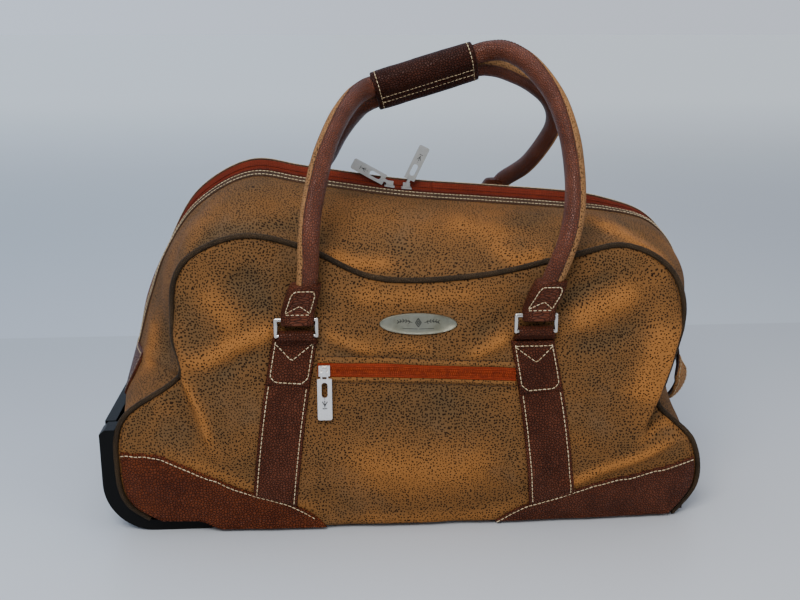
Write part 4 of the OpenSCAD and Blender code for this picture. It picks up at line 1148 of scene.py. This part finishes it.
def rolled_handle(side):
    """A rolled handle: a tan core strip outwards, a pebbled cover round the rest."""
    points, count = HANDLE_PATHS[side], 300
    path = curve(points, np.linspace(0, len(points) - 1, count))
    # the tan strip faces straight out of the loop, in the loop's own plane
    x, z = LOOP_MIDDLE[side]
    centre = np.column_stack([np.full(count, x), path[:, 1], np.full(count, z)])
    share = np.linspace(0, 1, count)
    if side == "front":
        turn = 14 - 46 * smooth((share - 0.22) / 0.14) + 62 * smooth((share - 0.60) / 0.18)
    else:
        turn = 8 + 18 * smooth((share - 0.15) / 0.2)
    body = "handle_" + side
    core = arc_tube(f"handle_core_{side}", path, centre, CORE_R, (-62, 62), turn, NUBUCK_PLAIN, 0.3, True)
    on_body(core, body, "tan_leather")
    cover = arc_tube(f"handle_cover_{side}", path, centre, COVER_R, (44, 316), turn, HANDLE, 1.0)
    on_body(cover, body, "brown_leather", side + "_handle_roll")
    _, out, across = frames(path, centre)
    sets = []
    for edge in (-55, 55):
        a = np.radians(edge + turn)[:, None]
        way = np.cos(a) * out + np.sin(a) * across
        centres, along = spread_along(path + COVER_R[1] * way, 3.6)
        nearest = np.linspace(0, count - 1, len(centres)).round().astype(int)
        sets.append(beads(centres, along, 2.8, 0.38, way[nearest], flat=0.8))
    on_body(joined(f"handle_stitching_{side}", sets, DARK_THREAD), body, "brown_leather")


# A front tab's rings: their levels over the ring, half widths and half depths.
TAB_LEVELS = np.array([-5.6, -5.0, -3.5, 0, 3.5, 6, 9, 13, 18, 23, 27, 30, 32.0, 32.6])
TAB_WIDE = np.array([13.6, 14.3, 14.6, 14.8, 14.8, 14.8, 14.9, 15, 15, 14.9, 14.6, 14.2, 13.4, 12.4])
TAB_DEEP = np.array([2.6, 3.9, 4.6, 4.95, 4.8, 4.7, 5.3, 7.2, 10.1, 11.2, 11.7, 11.9, 11.6, 10.8])


def handle_tab(side, x, y, z):
    """The leather tab that joins a rolled handle to its ring."""
    front, half = side == "front", "left" if x < 0 else "right"
    tall = 1.0 if front else 0.72
    levels, deep = TAB_LEVELS * tall, np.minimum(TAB_DEEP, 20 if front else 10.4)
    lean = {"front": {"left": 0.30, "right": 0.42}, "rear": {"left": 0.24, "right": 0.42}}[side][half]

    def place(across, out, level):
        """Points of the tab, which leans along the handle above its ring."""
        lift = np.maximum(0.0, level - 6)
        return np.stack([x + across + lean * lift, y + out + (0.02 if front else -0.12) * lift, z + level], -1)

    ang = np.linspace(0, 2 * np.pi, 56, endpoint=False)
    c, s = np.cos(ang), np.sin(ang)
    power = 2 / np.interp(levels, [levels[0], 6, levels[-1]], [5.5, 5.0, 2.6])
    rings = [place(np.sign(c) * np.abs(c) ** p * w, np.sign(s) * np.abs(s) ** p * d, np.full(len(ang), level))
             for level, w, d, p in zip(levels, TAB_WIDE, deep, power)]
    uv = np.stack([np.tile(ang * 12, len(levels)), np.repeat(levels, len(ang))], -1)
    piece = lofted(f"handle_tab_{side}_{half}", rings, BROWN, uv)
    soft = piece.modifiers.new("round", "SUBSURF")
    soft.levels = soft.render_levels = 1
    on_body(piece, "handle_" + side, "brown_leather", *([side + "_handle_tabs"] if x < 0 else []))
    # the stitched square, its inverted V and the line under it
    sign, e = (-1 if front else 1), 10.8
    square = [(-e, 7), (-e * 0.96, 24), (-e * 0.75, 28), (e * 0.75, 28), (e * 0.96, 24), (e, 7)]
    lines = []
    for points in (square, [(-e, 6.6), (0, 14), (e, 6.6)], [(-e, 5.4), (e, 5.4)]):
        across, level = dense(np.array(points) * [1, tall], 0.8).T
        lines.append(place(across, sign * (np.interp(level, levels, deep) + 0.12), level))
    stitches = stitched(f"handle_tab_stitching_{side}_{half}", lines, CREAM, facing(front), 3.6, 3.0, 0.48)
    on_body(stitches, "handle_" + side, "brown_leather")


WRAP_AT = np.array([12.0, 0.0, 409.3])
WRAP_LENGTH = 102.0
WRAP_R, WRAP_WALL, WRAP_STRAIGHT = 12.6, 2.1, 9.7
WRAP_LEAN, WRAP_ROLL = math.radians(16.7), math.radians(41)


def wrap_half(side):
    """Half of the grip wrap, on its own handle: a padded sleeve, open inwards."""
    sign = -1 if side == "front" else 1
    arc = np.linspace(math.radians(180), math.radians(360), 40)
    rise = WRAP_STRAIGHT * np.linspace(1, 0.04, 9)
    profile = np.concatenate([np.column_stack([np.full(9, -WRAP_R), rise]),
                              WRAP_R * np.column_stack([np.cos(arc), np.sin(arc)]),
                              np.column_stack([np.full(9, WRAP_R), rise[::-1]])])
    way = unit(np.column_stack([profile[:, 0], np.minimum(profile[:, 1], 0)]))
    end = np.array([0, 0.25, 0.8, 1.6])
    along = np.concatenate([end, np.linspace(2.6, WRAP_LENGTH - 2.6, 70), WRAP_LENGTH - end[::-1]])
    along = (along - WRAP_LENGTH / 2)[:, None]
    near = WRAP_LENGTH / 2 - np.abs(along)
    ripple = 0.35 * value_noise(along / 11, run(profile) / 12, 41)
    swell = 0.5 * smooth(near / 20) - 0.35 * bump(near, 4.6, 0.9) - 1.5 * (1 - rounded(near / 1.5))
    off = np.minimum(ripple + swell, 0.55)[..., None]

    def place(far, across):
        """Points of the sleeve, from its own axes to the row frame."""
        a, b = across[..., 0], across[..., 1] - 10.0
        y = -sign * (b * math.cos(WRAP_ROLL) + a * math.sin(WRAP_ROLL))
        up = -sign * (a * math.cos(WRAP_ROLL) - b * math.sin(WRAP_ROLL))
        x = far * math.cos(WRAP_LEAN) - up * math.sin(WRAP_LEAN)
        z = far * math.sin(WRAP_LEAN) + up * math.cos(WRAP_LEAN)
        return WRAP_AT + np.stack(np.broadcast_arrays(x, y, z), -1)

    outer, inner = place(along, profile + way * off), place(along, profile - way * WRAP_WALL)
    piece = sheet_solid(f"grip_wrap_{side}", outer, inner, [WRAP, LINING], False)
    on_body(piece, "handle_" + side, "brown_leather", side + "_wrap_half")
    # a row of stitches round each end, and one along the outer edge
    last = WRAP_LENGTH / 2 - 4.6
    lines = [place(far, profile + way * 0.15) for far in (-last, last)]
    k = 3 if side == "front" else -4
    lines.append(place(np.linspace(-last, last, 60), profile[k] + way[k] * 0.35))
    round_end = np.array([0, sign * 0.6, sign * -0.4])
    lifts = [round_end, round_end, place(0, profile[k] + way[k] * 5) - place(0, profile[k])]
    stitches = stitched(f"grip_wrap_stitching_{side}", lines, CREAM, lifts, 4.0, 3.3, 0.5)
    on_body(stitches, "handle_" + side, "brown_leather")


# ---------------------------------------------------------------- the whole bag
for side, front in SIDES:
    face(side, front)
    piping(side, front)
    for half in ("left", "right"):
        boxing_half(side, front, half)
        zipper_half(side, front, half)
        strap(side, front, half)
        corner_patch(side, front, half)

for side in ("front", "rear"):
    rolled_handle(side)
    wrap_half(side)

RING_X, TAB_X = (-114, 100), (-112.5, 102)
for side, front, ring_y, ring_z in (("front", True, 146, 192), ("back", False, 142, 250)):
    for half, x in zip(("left", "right"), RING_X):
        strap_loop(side, front, half, ring_z, ring_y, x)
for side, y, z in (("front", -146, 207), ("rear", 142, 265)):
    for x in TAB_X:
        handle_tab(side, x, y, z)

end_trim("end_trim_wheel", (FIRST_BOXING, 4.0), 0.45, "left_end_trim", 30,
         lambda t: 1.0 - 0.12 * smooth((t - 3.2) / 0.8))
end_trim("end_trim_trolley", (15.4, 18.82), 0.24, "right_end_trim", 60)
end_grip()
pocket()
badge()

pull_ornament("pocket_pull_mark", (-90, -149.2, 127), (0, 0, 1), (1, 0, 0), "pocket_pull_body")
for side, root, angle in (("left", (-22.28, 0, 305.25), 119), ("right", (-5.57, 0, 303.08), 206)):
    way = -np.array([math.sin(math.radians(angle)), 0, math.cos(math.radians(angle))])
    pull_ornament(f"main_pull_mark_{side}", np.array(root) + way * 31, -way, np.cross(way, [0, 1.0, 0]),
                  "pull_" + side, 0.85)

CAD_LOOKS = {
    BROWN_DARK: ["base_panel", "right_base_wrap"],
    BOARD: ["base_boards"],
    BLACK: ["base_runners", "skid_guards", "wheel_housings", "kick_plate", "trolley_end_block",
            "trolley_bezel", "trolley_grip"],
    DULL: ["main_slider_left", "main_slider_right", "main_pull_left", "main_pull_right"],
    SATIN: ["pocket_slider", "pocket_pull", "wheel_axles", "front_bearing", "rear_bearing", "release_rods",
            "button_spring"],
    CHROME: ["front_rings", "rear_rings"],
    TYRE: ["front_tyre", "rear_tyre"],
    CORE: ["front_hub", "rear_hub"],
    TUBE: ["trolley_outer_tubes", "trolley_mid_tubes", "trolley_inner_tubes"],
    BUTTON: ["trolley_button"],
}
for material, names in CAD_LOOKS.items():
    for name in names:
        repaint(name, material)
for name, width in (("skid_guards", 2.2), ("wheel_housings", 1.0), ("kick_plate", 1.2), ("trolley_bezel", 1.2),
                    ("trolley_grip", 1.6), ("trolley_button", 0.8), ("main_slider_left", 0.7),
                    ("main_slider_right", 0.7), ("main_pull_left", 0.4), ("main_pull_right", 0.4),
                    ("pocket_slider", 0.7), ("pocket_pull", 0.4), ("base_runners", 0.5)):
    bevelled(name, width)


# ---------------------------------------------------------------- stage
def area_light(name, place, aim, size, power, color):
    data = bpy.data.lights.new(name, "AREA")
    data.shape, data.size, data.energy, data.color = "DISK", size, power, color
    lamp = bpy.data.objects.new(name, data)
    bpy.context.scene.collection.objects.link(lamp)
    lamp.location = place
    lamp.rotation_euler = (Vector(aim) - Vector(place)).to_track_quat("-Z", "Y").to_euler()


def paper_floor():
    """A plain pale floor. Its tone turns cooler beyond a line behind the bag, and
    it glows a little far off, so that it meets the studio without an edge."""
    material, tree, surface = shader("floor_paper")
    _, times, _, _ = arithmetic(tree)
    at = coordinates(tree, "Object")
    cloud = spread(tree, noise(tree, at, 1.6, 3), 0.3, 0.7)
    place = node(tree, "SeparateXYZ", {0: at})
    x, y = place.outputs[0], place.outputs[1]
    near = mix(tree, spread(tree, y, -0.35, 0.5), (0.635, 0.675, 0.735), (0.520, 0.565, 0.625))
    beyond = mix(tree, spread(tree, y, 0.5, 4.0), (0.590, 0.655, 0.735), (0.90, 0.97, 1.0))
    color = mix(tree, spread(tree, y, 0.498, 0.506), near, beyond)
    color = mix(tree, spread(tree, x, -0.5, 0.7), color, (1.0, 0.955, 0.91), "MULTIPLY")
    color = mix(tree, times(cloud, 0.06), color, (0.5, 0.52, 0.55))
    far = node(tree, "Math", {0: y}, operation="ABSOLUTE").outputs[0]
    wire(tree, surface, {"Base Color": color, "Roughness": 0.36, "Specular IOR Level": 0.35,
                         "Emission Color": rgb((0.90, 0.97, 1.0)),
                         "Emission Strength": spread(tree, far, 0.8, 6.0, 0.0, 0.30)})
    return material


FLOOR_HALF = 60000
floor_corners = [(x * FLOOR_HALF, y * FLOOR_HALF, 0) for x, y in ((-1, -1), (1, -1), (1, 1), (-1, 1))]
floor = make("floor", floor_corners, [(0, 1, 2, 3)], [paper_floor()], flat=True)


def studio():
    """A pale studio: bluish to the left and greyer to the right, dimmer on the
    side of the camera's own spot, and with a low band of the far floor's tone."""
    world = bpy.data.worlds.new("studio")
    world.use_nodes = True
    tree = world.node_tree
    way = node(tree, "SeparateXYZ", {0: coordinates(tree, "Generated")})
    wall = mix(tree, spread(tree, way.outputs[0], -0.45, 0.35), (0.60, 0.75, 0.98), (0.52, 0.57, 0.67))
    low = mix(tree, spread(tree, way.outputs[0], -0.45, 0.35), (0.74, 0.85, 1.02), (0.68, 0.73, 0.84))
    color = mix(tree, spread(tree, way.outputs[1], -0.25, 0.45), (0.30, 0.315, 0.345), wall)
    color = mix(tree, spread(tree, way.outputs[2], 0.03, 0.09), low, color)
    tree.links.new(color, tree.nodes["Background"].inputs[0])
    bpy.context.scene.world = world


studio()
area_light("key", (-0.5, -1.3, 1.5), (0, 0, 0.2), 1.0, 26, (1.0, 0.985, 0.96))
area_light("top", (0.1, 0.1, 1.9), (0, 0, 0.2), 1.4, 8, (0.97, 0.985, 1.0))
area_light("fill", (1.3, -1.2, 0.9), (0, 0, 0.2), 1.2, 7, (0.95, 0.98, 1.0))


def camera():
    """The camera at the photograph's viewing angle."""
    target, distance = Vector((-0.012, 0, 0.184)), 1.05
    azimuth, elevation = math.radians(-4), math.radians(15)
    back = Vector((math.sin(azimuth) * math.cos(elevation), -math.cos(azimuth) * math.cos(elevation),
                   math.sin(elevation)))
    data = bpy.data.cameras.new("camera")
    data.lens, data.sensor_width = 45.9, 36.0
    made = bpy.data.objects.new("camera", data)
    bpy.context.scene.collection.objects.link(made)
    made.location = target + back * distance
    made.rotation_euler = (-back).to_track_quat("-Z", "Y").to_euler()
    bpy.context.scene.camera = made


camera()
